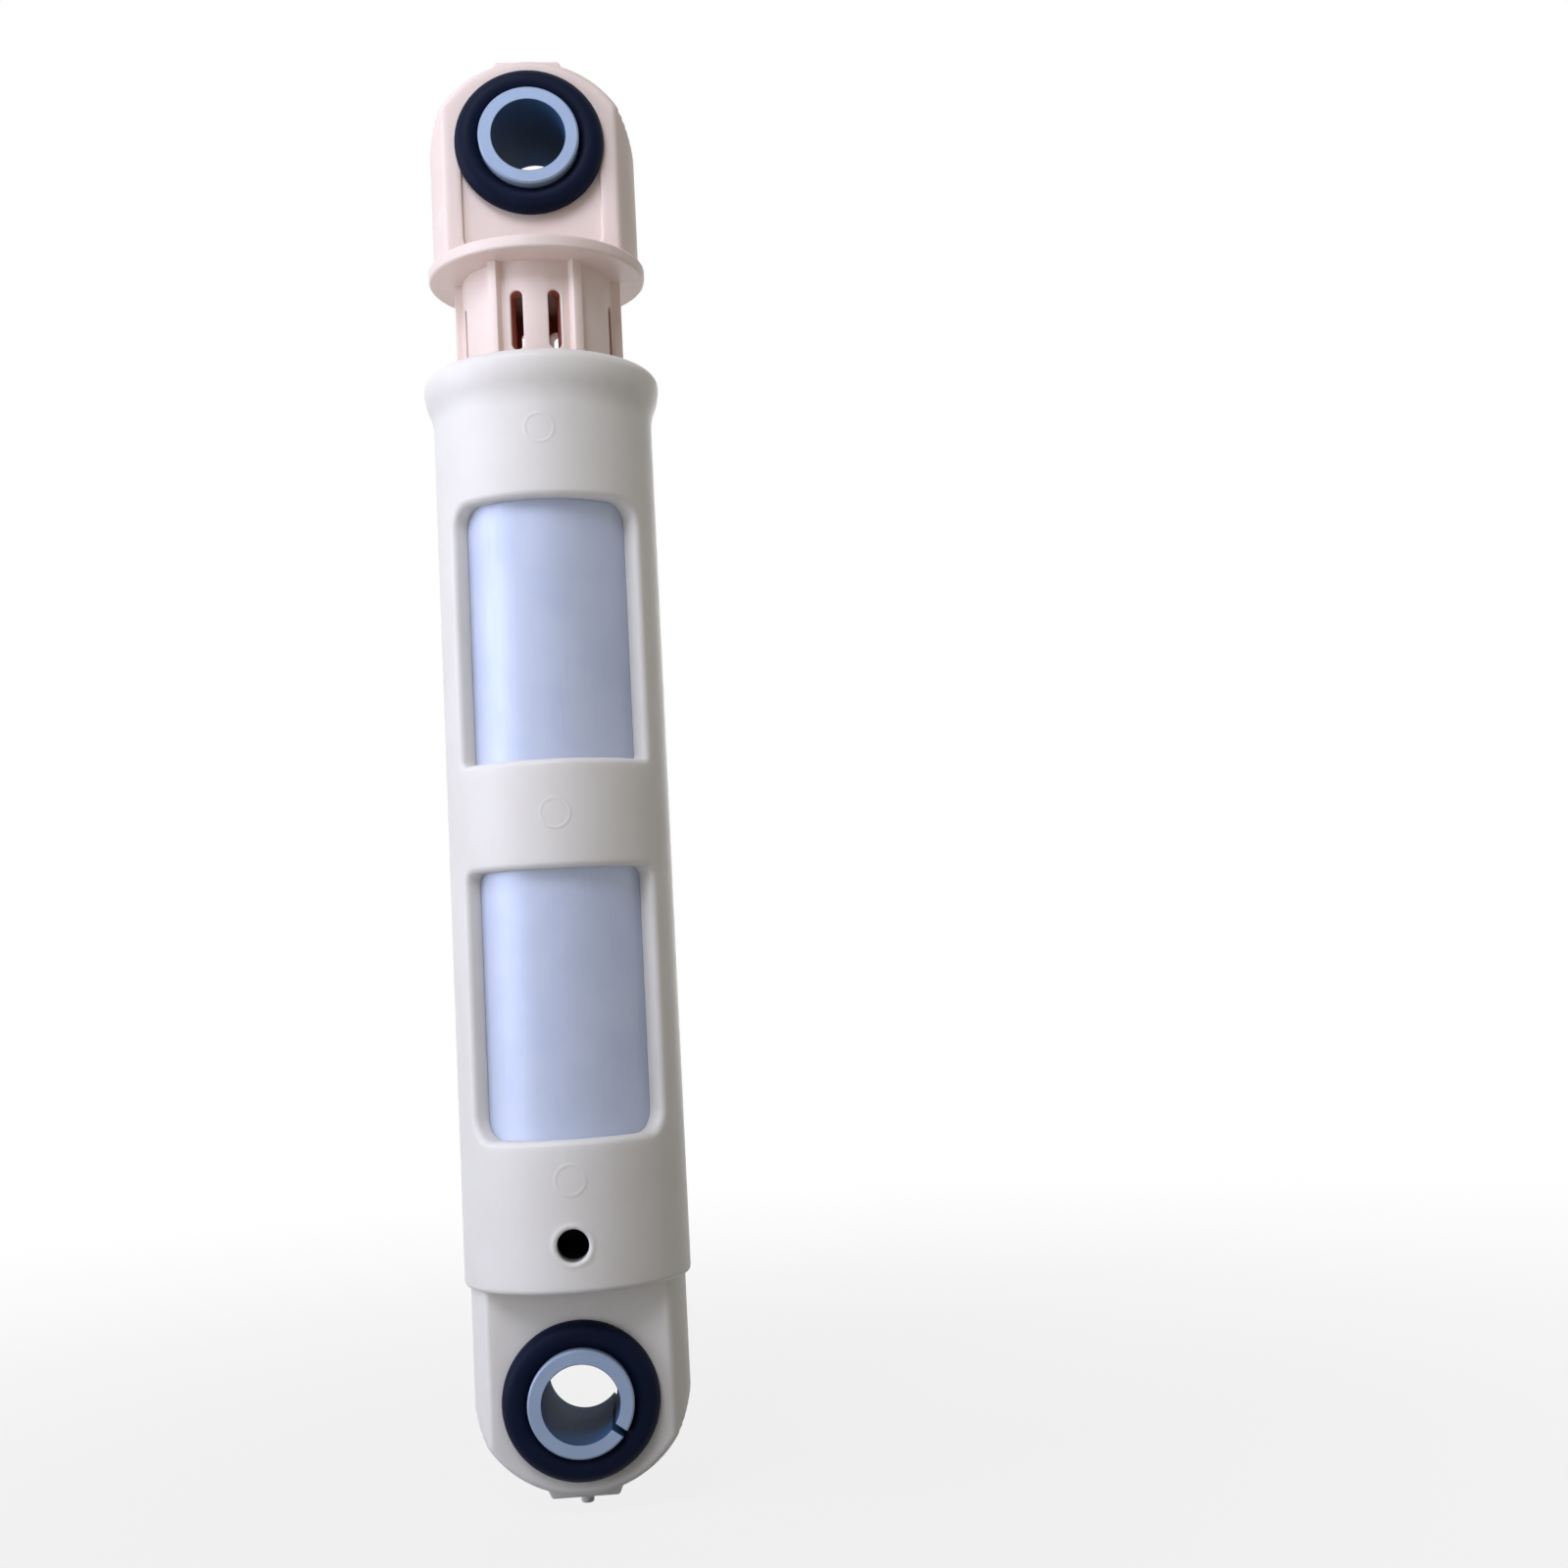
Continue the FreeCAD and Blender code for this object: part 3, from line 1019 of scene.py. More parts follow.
@dataclass(frozen=True)
class GreasedFoam:
    """Open-cell foam, greased right through.

    Attributes:
        name: The material's name.
        colour: Colour of the cell walls.
        pore: Colour of the pores.
    """

    name: str
    colour: Colour
    pore: Colour

    PORE_SIZE = 0.55
    PORE_HEIGHT = 0.12
    WET_SIZE = 4.0

    def material(self) -> bpy.types.Material:
        """Builds the material."""
        bench, material = ShaderBench.for_material(self.name)
        pores = bench.cells(self.PORE_SIZE)
        wet = bench.noise(self.WET_SIZE, Detail.RICH)
        bench.surface({
            "Base Color": bench.blend(pores.ramp(0.45, 0.15), self.colour, self.pore),
            "Roughness": 0.42 + 0.4 * wet,
            "Normal": bench.bump(self.PORE_HEIGHT * pores),
        })
        return material


@dataclass
class Housing:
    """The moulded body with its windows, breather hole, lip and lower eye, in millimetres.

    Attributes:
        radius: Radius of the straight wall.
        bottom: Height of the body's foot.
        foot_round: Radius of the edge round the foot.
        floor: Height of the chamber's floor.
        chamber_radius: Radius of the chamber below the liner.
        seat_radius: Radius of the liner's seat.
        liner_bottom: Height of the seat's lower end.
        liner_top: Height of the seat's upper end.
        mouth_radius: Radius of the mouth above the liner.
        mouth_chamfer: Width of the mouth's sloped edge.
        flare_length: Height over which the wall flares out to the lip.
        lip_round: Radius of the lip's upper edge.
        lip_swell: How far the lip stands out from the wall.
        window_half_angle: Half of each window's width, in degrees.
        window_height: Height of each window.
        window_margin: Height of the wall above and below a window in the same band.
        window_round: Radius of the edge round a window.
        lower_window: Height of the lower windows' lower edge.
        upper_window: Height of the upper windows' lower edge.
        end_corner: Radius of the windows' corners next to the body's ends.
        lower_band_corner: Radius of the lower windows' corners next to the middle band.
        upper_band_corner: Radius of the upper windows' corners next to the middle band.
        vent_radius: Radius of the breather hole.
        vent_height: Height of its middle.
        vent_margin: Height of the wall above and below its middle in the same band.
        vent_half_angle: Half the width of the cell around it, in degrees.
        gate_radius: Radius of the nipple under the eye.
        gate_root: Length of the nipple.
        gate_round: Radius of the nipple's edge.
        gate_sides: Number of sides of the nipple.
        step: Degrees between the wall's upright grid lines.
        window_rows: Rows of faces over the height of a window's band.
        window_rings: Rings of faces round a window.
        vent_rows: Rows of faces over the height of the breather hole's band.
        vent_rings: Rings of faces round the breather hole.
        plain_rows: Rows of faces in a plain band of the outer face.
        round_steps: Chords on a small round and on half a window's corner.
        lip_steps: Chords on the lip's upper edge.
        foot_steps: Chords on the edge round the foot.
    """

    radius: float = 16.5
    bottom: float = 15.85
    foot_round: float = 0.8
    floor: float = 19.5
    chamber_radius: float = 12.9
    seat_radius: float = 14.05
    liner_bottom: float = 28.0
    liner_top: float = 146.0
    mouth_radius: float = 13.1
    mouth_chamfer: float = 0.8
    flare_length: float = 6.3
    lip_round: float = 1.7
    lip_swell: float = 1.3
    window_half_angle: float = 55.0
    window_height: float = 38.2
    window_margin: float = 4.0
    window_round: float = 0.9
    lower_window: float = 37.0
    upper_window: float = 90.8
    end_corner: float = 3.5
    lower_band_corner: float = 1.8
    upper_band_corner: float = 0.8
    vent_radius: float = 2.3
    vent_height: float = 22.5
    vent_margin: float = 4.3
    vent_half_angle: float = 15.0
    gate_radius: float = 0.95
    gate_root: float = 3.4
    gate_round: float = 0.35
    gate_sides: int = 32
    step: float = 3.75
    window_rows: int = 32
    window_rings: int = 6
    vent_rows: int = 8
    vent_rings: int = 4
    plain_rows: int = 2
    round_steps: int = 6
    lip_steps: int = 10
    foot_steps: int = 5

    # Section of the bead round the breather hole as (distance outside the hole, depth below the face).
    VENT_BEAD = ((0.95, 0.0), (0.82, -0.05), (0.62, -0.12), (0.42, -0.14), (0.22, -0.09), (0.07, 0.06),
                 (0.0, 0.3))

    def bearings(self, start: float, end: float) -> list[float]:
        """Gives the body's upright grid lines between two bearings."""
        return spread(start, end, round((end - start) / self.step))

    def windows(self, low: float, bottom_corner: float, top_corner: float) -> list[Opening]:
        """Gives the front and the back window that start at a height."""
        half = self.radius * math.radians(self.window_half_angle)
        return [Opening(bearing, half, low, low + self.window_height, bottom_corner, top_corner)
                for bearing in (0.0, 180.0)]

    def window_band(self, outer: RoundWall, inner: RoundWall, openings: Sequence[Opening]) -> Pair:
        """Builds the part of the wall that a pair of windows pierces.

        Args:
            outer: The wall's outer face.
            inner: The wall's inner face.
            openings: The front and the back window.

        Returns:
            The band's lowest and highest level.
        """
        low = openings[0].bottom - self.window_margin
        high = openings[0].top + self.window_margin
        heights = spread(low, high, self.window_rows)
        quarter, rings = self.round_steps, self.window_rings
        section = round_edge(self.window_round, self.round_steps)
        for opening in openings:
            lines = self.bearings(opening.bearing - 90.0, opening.bearing + 90.0)
            narrow = opening.narrowed(inner.radius / outer.radius)
            edge = outer.pierced(lines, heights, opening, quarter, rings, section)
            seat = inner.pierced(lines, heights, narrow, quarter, rings)
            outer.maker.bridge(edge, seat)
        return low, high

    def vent_band(self, outer: RoundWall, inner: RoundWall) -> Pair:
        """Builds the part of the wall that the breather hole pierces.

        Args:
            outer: The wall's outer face.
            inner: The chamber's face.

        Returns:
            The band's lowest and highest level.
        """
        low = self.vent_height - self.vent_margin
        high = self.vent_height + self.vent_margin
        half = self.vent_half_angle
        quarter = self.vent_rows // 2
        outer_rows = spread(low, high, self.vent_rows)
        inner_rows = spread(self.floor, high, self.vent_rows)
        hole = Opening(0.0, self.vent_radius, self.vent_height - self.vent_radius,
                       self.vent_height + self.vent_radius, self.vent_radius, self.vent_radius)
        lines = self.bearings(-half, half)
        edge = outer.pierced(lines, outer_rows, hole, quarter, self.vent_rings, self.VENT_BEAD)
        seat = inner.pierced(lines, inner_rows, hole, quarter, self.vent_rings)
        outer.maker.bridge(edge, seat)
        rest = self.bearings(half, 360.0 - half)
        outer.plain(rest, outer_rows)
        inner.plain(rest, inner_rows)
        return low, high

    def lip(self, rim: float) -> list[Pair]:
        """Gives the profile from the straight wall over the flared lip into the mouth."""
        swell, length = self.lip_swell, self.flare_length
        sweep = (length ** 2 + swell ** 2) / (4 * swell)
        lean = math.degrees(math.asin(length / (2 * sweep)))
        top = rim - self.lip_round
        edge = self.radius + swell
        mouth, slope = self.mouth_radius, self.mouth_chamfer
        profile = arc((self.radius + sweep, top - length), sweep, 180.0, 180.0 - lean, self.round_steps)
        profile += arc((edge - sweep, top), sweep, -lean, 0.0, self.round_steps)[1:]
        profile += arc((edge - self.lip_round, top), self.lip_round, 0.0, 90.0, self.lip_steps)[1:]
        profile += [(mouth + slope, rim), (mouth, rim - slope)]
        profile += [(mouth, self.liner_top), (self.seat_radius, self.liner_top)]
        return profile

    def body(self, rim: float) -> bpy.types.Object:
        """Builds the round body, closed at its foot and open at its mouth.

        Args:
            rim: Height of the lip's top.

        Returns:
            The body.
        """
        maker = MeshMaker()
        outer = RoundWall(maker, self.radius)
        inner = RoundWall(maker, self.seat_radius)
        chamber = RoundWall(maker, self.chamber_radius)
        around = self.bearings(0.0, 360.0)

        def ring(radius: float, height: float) -> Loop:
            """Adds one level loop of the body."""
            return maker.loop(Axis.UP.place(radius, height, bearing) for bearing in around[:-1])

        hub = (self.radius - self.foot_round, self.bottom + self.foot_round)
        foot = arc(hub, self.foot_round, -90.0, 0.0, self.foot_steps)
        foot_loops = [ring(radius, height) for radius, height in foot]
        maker.skin(foot_loops)
        maker.cap(foot_loops[0])

        vent_low, vent_high = self.vent_band(outer, chamber)
        lower = self.windows(self.lower_window, self.end_corner, self.lower_band_corner)
        upper = self.windows(self.upper_window, self.upper_band_corner, self.end_corner)
        low_band = self.window_band(outer, inner, lower)
        high_band = self.window_band(outer, inner, upper)

        lip = self.lip(rim)
        outer.plain(around, [foot[-1][1], vent_low])
        outer.plain(around, spread(vent_high, low_band[0], self.plain_rows))
        outer.plain(around, spread(low_band[1], high_band[0], self.plain_rows))
        outer.plain(around, spread(high_band[1], lip[0][1], self.plain_rows))
        inner.plain(around, [self.liner_bottom, low_band[0]])
        inner.plain(around, [low_band[1], high_band[0]])
        inner.plain(around, [high_band[1], self.liner_top])
        chamber.plain(around, [vent_high, self.liner_bottom])
        maker.skin([ring(radius, height) for radius, height in lip])
        maker.skin([ring(radius, self.liner_bottom) for radius in (self.chamber_radius, self.seat_radius)])
        maker.cap(ring(self.chamber_radius, self.floor))
        return maker.finish("housing_moulding")

    def gate(self, tip: float) -> bpy.types.Object:
        """Builds the nipple that the mould's gate leaves under the lower eye."""
        maker = MeshMaker()
        root = tip + self.gate_root
        hub = (self.gate_radius - self.gate_round, tip + self.gate_round)
        rounded = arc(hub, self.gate_round, 0.0, -90.0, self.round_steps)
        profile = [(0.0, root), (self.gate_radius, root), *rounded, (0.0, tip)]
        maker.turn_round(profile, Axis.UP, self.gate_sides)
        return maker.finish("gate")

    def build(self, form: EyeForm, finish: MouldedPlastic) -> bpy.types.Object:
        """Builds and dresses the whole moulding.

        Args:
            form: The eye's sizes.
            finish: The plastic.

        Returns:
            The moulding.
        """
        low, high = (corner.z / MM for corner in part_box("housing"))
        eye = Eye(form, End.LOWER, 0.0, self.bottom, None)
        extras = [eye.body("eye"), eye.pad("pad"), self.gate(low)]
        moulding = fuse(self.body(high), extras)
        return dress(moulding, finish.material(), "housing", ["housing"])


@dataclass
class LinerTube:
    """The drawn steel tube inside the housing, in millimetres.

    Attributes:
        wall: Thickness of the wall.
        sides: Number of sides.
    """

    wall: float = 1.0
    sides: int = 144

    def build(self, finish: ZincSteel) -> bpy.types.Object:
        """Builds and dresses the tube."""
        low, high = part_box("liner_tube")
        outer = high.x / MM
        bottom, top = low.z / MM, high.z / MM
        inner = outer - self.wall
        maker = MeshMaker()
        profile = [(inner, bottom), (outer, bottom), (outer, top), (inner, top)]
        maker.turn_round(profile, Axis.UP, self.sides)
        tube = smooth(maker.finish("liner_drawn_tube"))
        return dress(tube, finish.material(), "housing", ["liner_tube"])


@dataclass
class Bush:
    """A rubber bush with a domed flange on both flats of its eye, in millimetres.

    Attributes:
        waist: Radius inside the eye.
        flange_rim: Height of the flange's rim above the flat.
        rim_round: Size of the slope under the rim.
        crest_radius: Radius of the dome's highest ring.
        lip_drop: How far the dome falls towards the sleeve.
        bore_radius: Radius round the sleeve.
        sides: Number of sides.
        dome_steps: Chords from the rim to the crest.
        dish_steps: Chords from the crest to the sleeve.
    """

    waist: float = 9.45
    flange_rim: float = 0.35
    rim_round: float = 0.2
    crest_radius: float = 9.2
    lip_drop: float = 1.1
    bore_radius: float = 7.55
    sides: int = 144
    dome_steps: int = 14
    dish_steps: int = 10

    def flange(self, radius: float, face: float, crest: float) -> list[Pair]:
        """Gives one flange's profile from the waist over the dome to the sleeve.

        Args:
            radius: The flange's radius.
            face: Distance from the middle plane to the eye's flat.
            crest: Distance from the middle plane to the dome's top.

        Returns:
            Points as (radius, distance).
        """
        rim = face + self.flange_rim
        run = radius - self.crest_radius
        fall = self.crest_radius - self.bore_radius
        dome = [(self.crest_radius + run * x, rim + (crest - rim) * y)
                for x, y in arc((0.0, 0.0), 1.0, 0.0, 90.0, self.dome_steps)]
        dish = [(self.crest_radius + fall * x, crest - self.lip_drop * (1.0 - y))
                for x, y in arc((0.0, 0.0), 1.0, 90.0, 180.0, self.dish_steps)]
        return [(self.waist, face), (radius - self.rim_round, face),
                (radius, face + self.rim_round), *dome, *dish[1:]]

    def build(self, node: str, body: str, height: float, finish: MouldedRubber,
              form: EyeForm) -> bpy.types.Object:
        """Builds and dresses one bush.

        Args:
            node: The solid that it stands for.
            body: The body that it moves with.
            height: Height of its bore.
            finish: The rubber.
            form: The eye's sizes.

        Returns:
            The bush.
        """
        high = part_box(node)[1]
        back = self.flange(high.x / MM, form.half_thickness, high.y / MM)
        front = [(radius, -along) for radius, along in reversed(back)]
        maker = MeshMaker()
        maker.turn_round(back + front, Axis.BORE, self.sides, height)
        bush = smooth(maker.finish(f"{node}_rubber"))
        return dress(bush, finish.material(), body, [node])


@dataclass
class Sleeve:
    """A steel sleeve rolled from strip, in millimetres.

    Attributes:
        chamfer: Width of the broken edge round the outside.
        bore_chamfer: Width of the broken edge round the bore.
        seam_gap: Width of a seam that stays open.
        seam_turn: Turn of that seam from the top, in degrees.
        sides: Number of sides.
    """

    chamfer: float = 0.25
    bore_chamfer: float = 0.12
    seam_gap: float = 0.9
    seam_turn: float = 126.0
    sides: int = 144

    def profile(self, bore: float, outer: float, half: float) -> list[Pair]:
        """Gives the wall's section with its broken edges."""
        edge, lead = self.chamfer, self.bore_chamfer
        end = [(bore, half - lead), (bore + lead, half), (outer - edge, half), (outer, half - edge)]
        return end + [(radius, -along) for radius, along in reversed(end)]

    def roll(self, maker: MeshMaker, profile: Sequence[Pair], height: float) -> None:
        """Turns a wall's section round the bore from one side of an open seam to the other.

        Args:
            maker: The mesh that takes the wall.
            profile: The section as (radius, distance along the bore).
            height: Height of the bore.
        """
        loops = []
        for share in spread(0.0, 1.0, self.sides):
            points = []
            for radius, along in profile:
                spare = math.degrees(math.asin(self.seam_gap / 2 / radius))
                turn = self.seam_turn + spare + (360.0 - 2 * spare) * share
                x, y, z = Axis.BORE.place(radius, along, turn)
                points.append((x, y, z + height))
            loops.append(maker.loop(points))
        maker.skin(loops)
        maker.cap(loops[0])
        maker.cap(loops[-1])

    def build(self, node: str, body: str, bore: float, height: float, seam: Seam,
              finish: SleeveSteel) -> bpy.types.Object:
        """Builds and dresses one sleeve.

        Args:
            node: The solid that it stands for.
            body: The body that it moves with.
            bore: Radius of its bore.
            height: Height of its bore.
            seam: Whether its rolled edges meet.
            finish: The steel.

        Returns:
            The sleeve.
        """
        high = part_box(node)[1]
        profile = self.profile(bore, high.x / MM, high.y / MM)
        maker = MeshMaker()
        if seam is Seam.CLOSED:
            maker.turn_round(profile, Axis.BORE, self.sides, height)
        else:
            self.roll(maker, profile, height)
        sleeve = smooth(maker.finish(f"{node}_rolled"))
        return dress(sleeve, finish.material(), body, [node])


@dataclass
class Plunger:
    """The moulded plunger: upper eye, flange, ribbed and slotted shaft and two collars, in millimetres.

    Attributes:
        flange_radius: Radius of the flange under the eye.
        flange_bottom: Height of the flange's underside.
        flange_thickness: Thickness of the flange.
        flange_round: Radius of the edges of the flange's rim.
        flange_sides: Number of sides of the flange.
        flange_steps: Chords on each edge of its rim.
        shaft_radius: Radius of the shaft between its ribs.
        shaft_root: Length of the shaft that is sunk into the flange.
        shaft_rows: Rows of faces from the upper collar to the slots.
        bore_radius: Radius of the shaft's hollow.
        bore_top: Height of the hollow's upper end.
        guide_radius: Radius of the two collars.
        seat_radius: Radius of the groove between them.
        foot: Height of the shaft's lower end.
        groove_bottom: Height of the groove's lower end.
        groove_top: Height of the groove's upper end.
        collar_top: Height of the upper collar's top.
        collar_round: Size of the slope round the foot.
        ribs: Number of ribs.
        first_rib: Middle of the first rib, in degrees from the front.
        slot_quarters: Number of pairs of breather slots.
        slot_offset: Degrees from a pair's middle to each of its slots.
        slot_half_width: Half of a slot's width.
        slot_bottom: Height of the slots' lower ends.
        slot_top: Height of the slots' upper ends.
        slot_round: Radius of the edge round a slot.
        slot_margin: Height of the wall above and below a slot in the same band.
        slot_half_angle: Half the width of the cell around a slot, in degrees.
        slot_rows: Rows of faces over the height of the slots' band.
        slot_quarter: Chords on each half of a slot's corner.
        slot_rings: Rings of faces round a slot, and chords on its edge.
    """

    flange_radius: float = 16.5
    flange_bottom: float = 166.0
    flange_thickness: float = 2.0
    flange_round: float = 0.45
    flange_sides: int = 128
    flange_steps: int = 5
    shaft_radius: float = 11.4
    shaft_root: float = 1.0
    shaft_rows: int = 3
    bore_radius: float = 8.6
    bore_top: float = 163.5
    guide_radius: float = 12.7
    seat_radius: float = 10.6
    foot: float = 36.0
    groove_bottom: float = 39.0
    groove_top: float = 72.0
    collar_top: float = 75.0
    collar_round: float = 0.3
    ribs: int = 6
    first_rib: float = 30.0
    slot_quarters: int = 4
    slot_offset: float = 14.4
    slot_half_width: float = 0.95
    slot_bottom: float = 152.4
    slot_top: float = 161.4
    slot_round: float = 0.22
    slot_margin: float = 1.9
    slot_half_angle: float = 8.0
    slot_rows: int = 24
    slot_quarter: int = 5
    slot_rings: int = 4

    # Section of a rib as (degrees from its middle, rise above the shaft).
    RIB_SHAPE = ((-4.7, 0.0), (-4.2, 0.04), (-3.9, 0.18), (-3.7, 0.7), (-3.55, 1.14), (-3.3, 1.26),
                 (-2.9, 1.3), (0.0, 1.3), (2.9, 1.3), (3.3, 1.26), (3.55, 1.14), (3.7, 0.7), (3.9, 0.18),
                 (4.2, 0.04), (4.7, 0.0))
    FILL_STEP = 2.5  # Degrees between the points of the plain shaft.
    MATCH_DIGITS = 6  # Digits to which bearings are compared.

    def slots(self) -> list[Opening]:
        """Gives the breather slots in order round the shaft."""
        slots = []
        for quarter in range(self.slot_quarters):
            for side in (-1.0, 1.0):
                bearing = quarter * 360.0 / self.slot_quarters + side * self.slot_offset
                slots.append(Opening(bearing, self.slot_half_width, self.slot_bottom, self.slot_top,
                                     self.slot_half_width, self.slot_half_width))
        return slots

    def rib_bearings(self) -> list[float]:
        """Gives the middle of each rib."""
        return [self.first_rib + number * 360.0 / self.ribs for number in range(self.ribs)]

    def section(self) -> list[Pair]:
        """Gives the shaft's outer section as (bearing, rise above the shaft), in order round it.

        Returns:
            Points from half way round the left of the first slot to the same place again.
        """
        spans = [(slot.bearing - self.slot_half_angle, slot.bearing + self.slot_half_angle, True)
                 for slot in self.slots()]
        first, last = self.RIB_SHAPE[0][0], self.RIB_SHAPE[-1][0]
        spans += [(rib + first, rib + last, False) for rib in self.rib_bearings()]
        spans.sort()
        points: list[Pair] = []
        for number, (start, end, slotted) in enumerate(spans):
            if slotted:
                points += [(bearing, 0.0) for bearing in spread(start, end, 2 * self.slot_quarter)]
            else:
                middle = (start + end) / 2
                points += [(middle + lean, rise) for lean, rise in self.RIB_SHAPE]
            following = spans[number + 1][0] if number + 1 < len(spans) else spans[0][0] + 360.0
            gap = following - end
            steps = max(1, round(gap / self.FILL_STEP))
            points += [(bearing, 0.0) for bearing in spread(end, following, steps)[1:-1]]
        return points

    def shaft(self) -> bpy.types.Object:
        """Builds the hollow shaft with its ribs, slots, collars and lining groove."""
        maker = MeshMaker()
        section = self.section()
        outer = RoundWall(maker, self.shaft_radius)
        inner = RoundWall(maker, self.bore_radius)

        def ribbed(height: float) -> Loop:
            """Adds one level loop round the ribs."""
            return maker.loop(Axis.UP.place(self.shaft_radius + rise, height, bearing)
                              for bearing, rise in section)

        def ring(radius: float, height: float) -> Loop:
            """Adds one level loop without ribs."""
            return maker.loop(Axis.UP.place(radius, height, bearing) for bearing, _ in section)

        low, high = self.slot_bottom - self.slot_margin, self.slot_top + self.slot_margin
        top = self.flange_bottom + self.shaft_root
        heights = spread(low, high, self.slot_rows)
        starts = {round(slot.bearing - self.slot_half_angle, self.MATCH_DIGITS): slot
                  for slot in self.slots()}
        count = len(section)
        place = 0
        while place < count:
            slot = starts.get(round(section[place][0], self.MATCH_DIGITS))
            if slot is None:
                pair = [section[place], section[(place + 1) % count]]
                self.strip(maker, pair, heights)
                place += 1
                continue
            lines = spread(slot.bearing - self.slot_half_angle, slot.bearing + self.slot_half_angle,
                           2 * self.slot_quarter)
            edge = outer.pierced(lines, heights, slot, self.slot_quarter, self.slot_rings,
                                 round_edge(self.slot_round, self.slot_rings))
            seat = inner.pierced(lines, heights, slot, self.slot_quarter, self.slot_rings)
            maker.bridge(edge, seat)
            place += 2 * self.slot_quarter

        crown = [ribbed(high), ribbed(top)]
        maker.skin(crown)
        maker.cap(crown[-1])
        maker.skin([ribbed(height) for height in spread(self.collar_top, low, self.shaft_rows)])
        edge = self.collar_round
        maker.skin([ribbed(self.collar_top), ring(self.guide_radius, self.collar_top),
                    ring(self.guide_radius, self.groove_top), ring(self.seat_radius, self.groove_top),
                    ring(self.seat_radius, self.groove_bottom), ring(self.guide_radius, self.groove_bottom),
                    ring(self.guide_radius, self.foot + edge), ring(self.guide_radius - edge, self.foot),
                    ring(self.bore_radius, self.foot), ring(self.bore_radius, low)])
        maker.skin([ring(self.bore_radius, high), ring(self.bore_radius, self.bore_top)])
        maker.cap(ring(self.bore_radius, self.bore_top))
        return maker.finish("plunger_moulding")

    def strip(self, maker: MeshMaker, pair: Sequence[Pair], heights: Sequence[float]) -> None:
        """Fills the wall between two bearings that no slot pierces, on both faces."""
        for base, share in ((self.shaft_radius, 1.0), (self.bore_radius, 0.0)):
            rows = [maker.loop(Axis.UP.place(base + share * rise, height, bearing) for bearing, rise in pair)
                    for height in heights]
            maker.skin(rows, closed=False)

    def flange(self) -> bpy.types.Object:
        """Builds the round flange with its rounded rim."""
        edge, radius = self.flange_round, self.flange_radius
        low, high = self.flange_bottom, self.flange_bottom + self.flange_thickness
        rim = arc((radius - edge, low + edge), edge, -90.0, 0.0, self.flange_steps)
        rim += arc((radius - edge, high - edge), edge, 0.0, 90.0, self.flange_steps)
        maker = MeshMaker()
        maker.turn_round([(0.0, low), *rim, (0.0, high)], Axis.UP, self.flange_sides)
        return maker.finish("flange")

    def build(self, form: EyeForm, panel: EyePanel, height: float,
              finish: MouldedPlastic) -> bpy.types.Object:
        """Builds and dresses the whole moulding.

        Args:
            form: The eye's sizes.
            panel: The panel in the eye's flats.
            height: Height of the upper eye's bore.
            finish: The plastic.

        Returns:
            The moulding.
        """
        rise = height - self.flange_bottom - self.flange_thickness
        eye = Eye(form, End.UPPER, height, rise, panel)
        moulding = fuse(self.shaft(), [self.flange(), eye.body("eye"), eye.pad("pad")])
        return dress(moulding, finish.material(), "plunger", ["plunger"])


def dress(obj: bpy.types.Object, material: bpy.types.Material, body: str,
          nodes: Sequence[str]) -> bpy.types.Object:
    """Gives a piece its finish and its place in the frame.

    Args:
        obj: The piece.
        material: Its finish.
        body: The body that it moves with.
        nodes: The solids that it stands for.

    Returns:
        The piece.
    """
    obj.data.materials.clear()
    obj.data.materials.append(material)
    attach(obj, body)
    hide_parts(*nodes)
    return obj


@dataclass(frozen=True)
class Lamp:
    """One square soft lamp.

    Attributes:
        name: The lamp's name.
        place: Where it hangs, in metres.
        size: Side of the square in metres.
        power: Power in watts.
        colour: Colour of its light.
    """

    name: str
    place: Point
    size: float
    power: float
    colour: Colour

    def hang(self, aim: Point) -> None:
        """Hangs the lamp and turns it towards a point.

        Args:
            aim: The point, in metres.
        """
        light = bpy.data.lights.new(self.name, "AREA")
        light.size = self.size
        light.energy = self.power
        light.color = self.colour
        lamp = bpy.data.objects.new(self.name, light)
        lamp.location = self.place
        lamp.rotation_euler = (Vector(aim) - Vector(self.place)).to_track_quat("-Z", "Y").to_euler()
        bpy.context.scene.collection.objects.link(lamp)


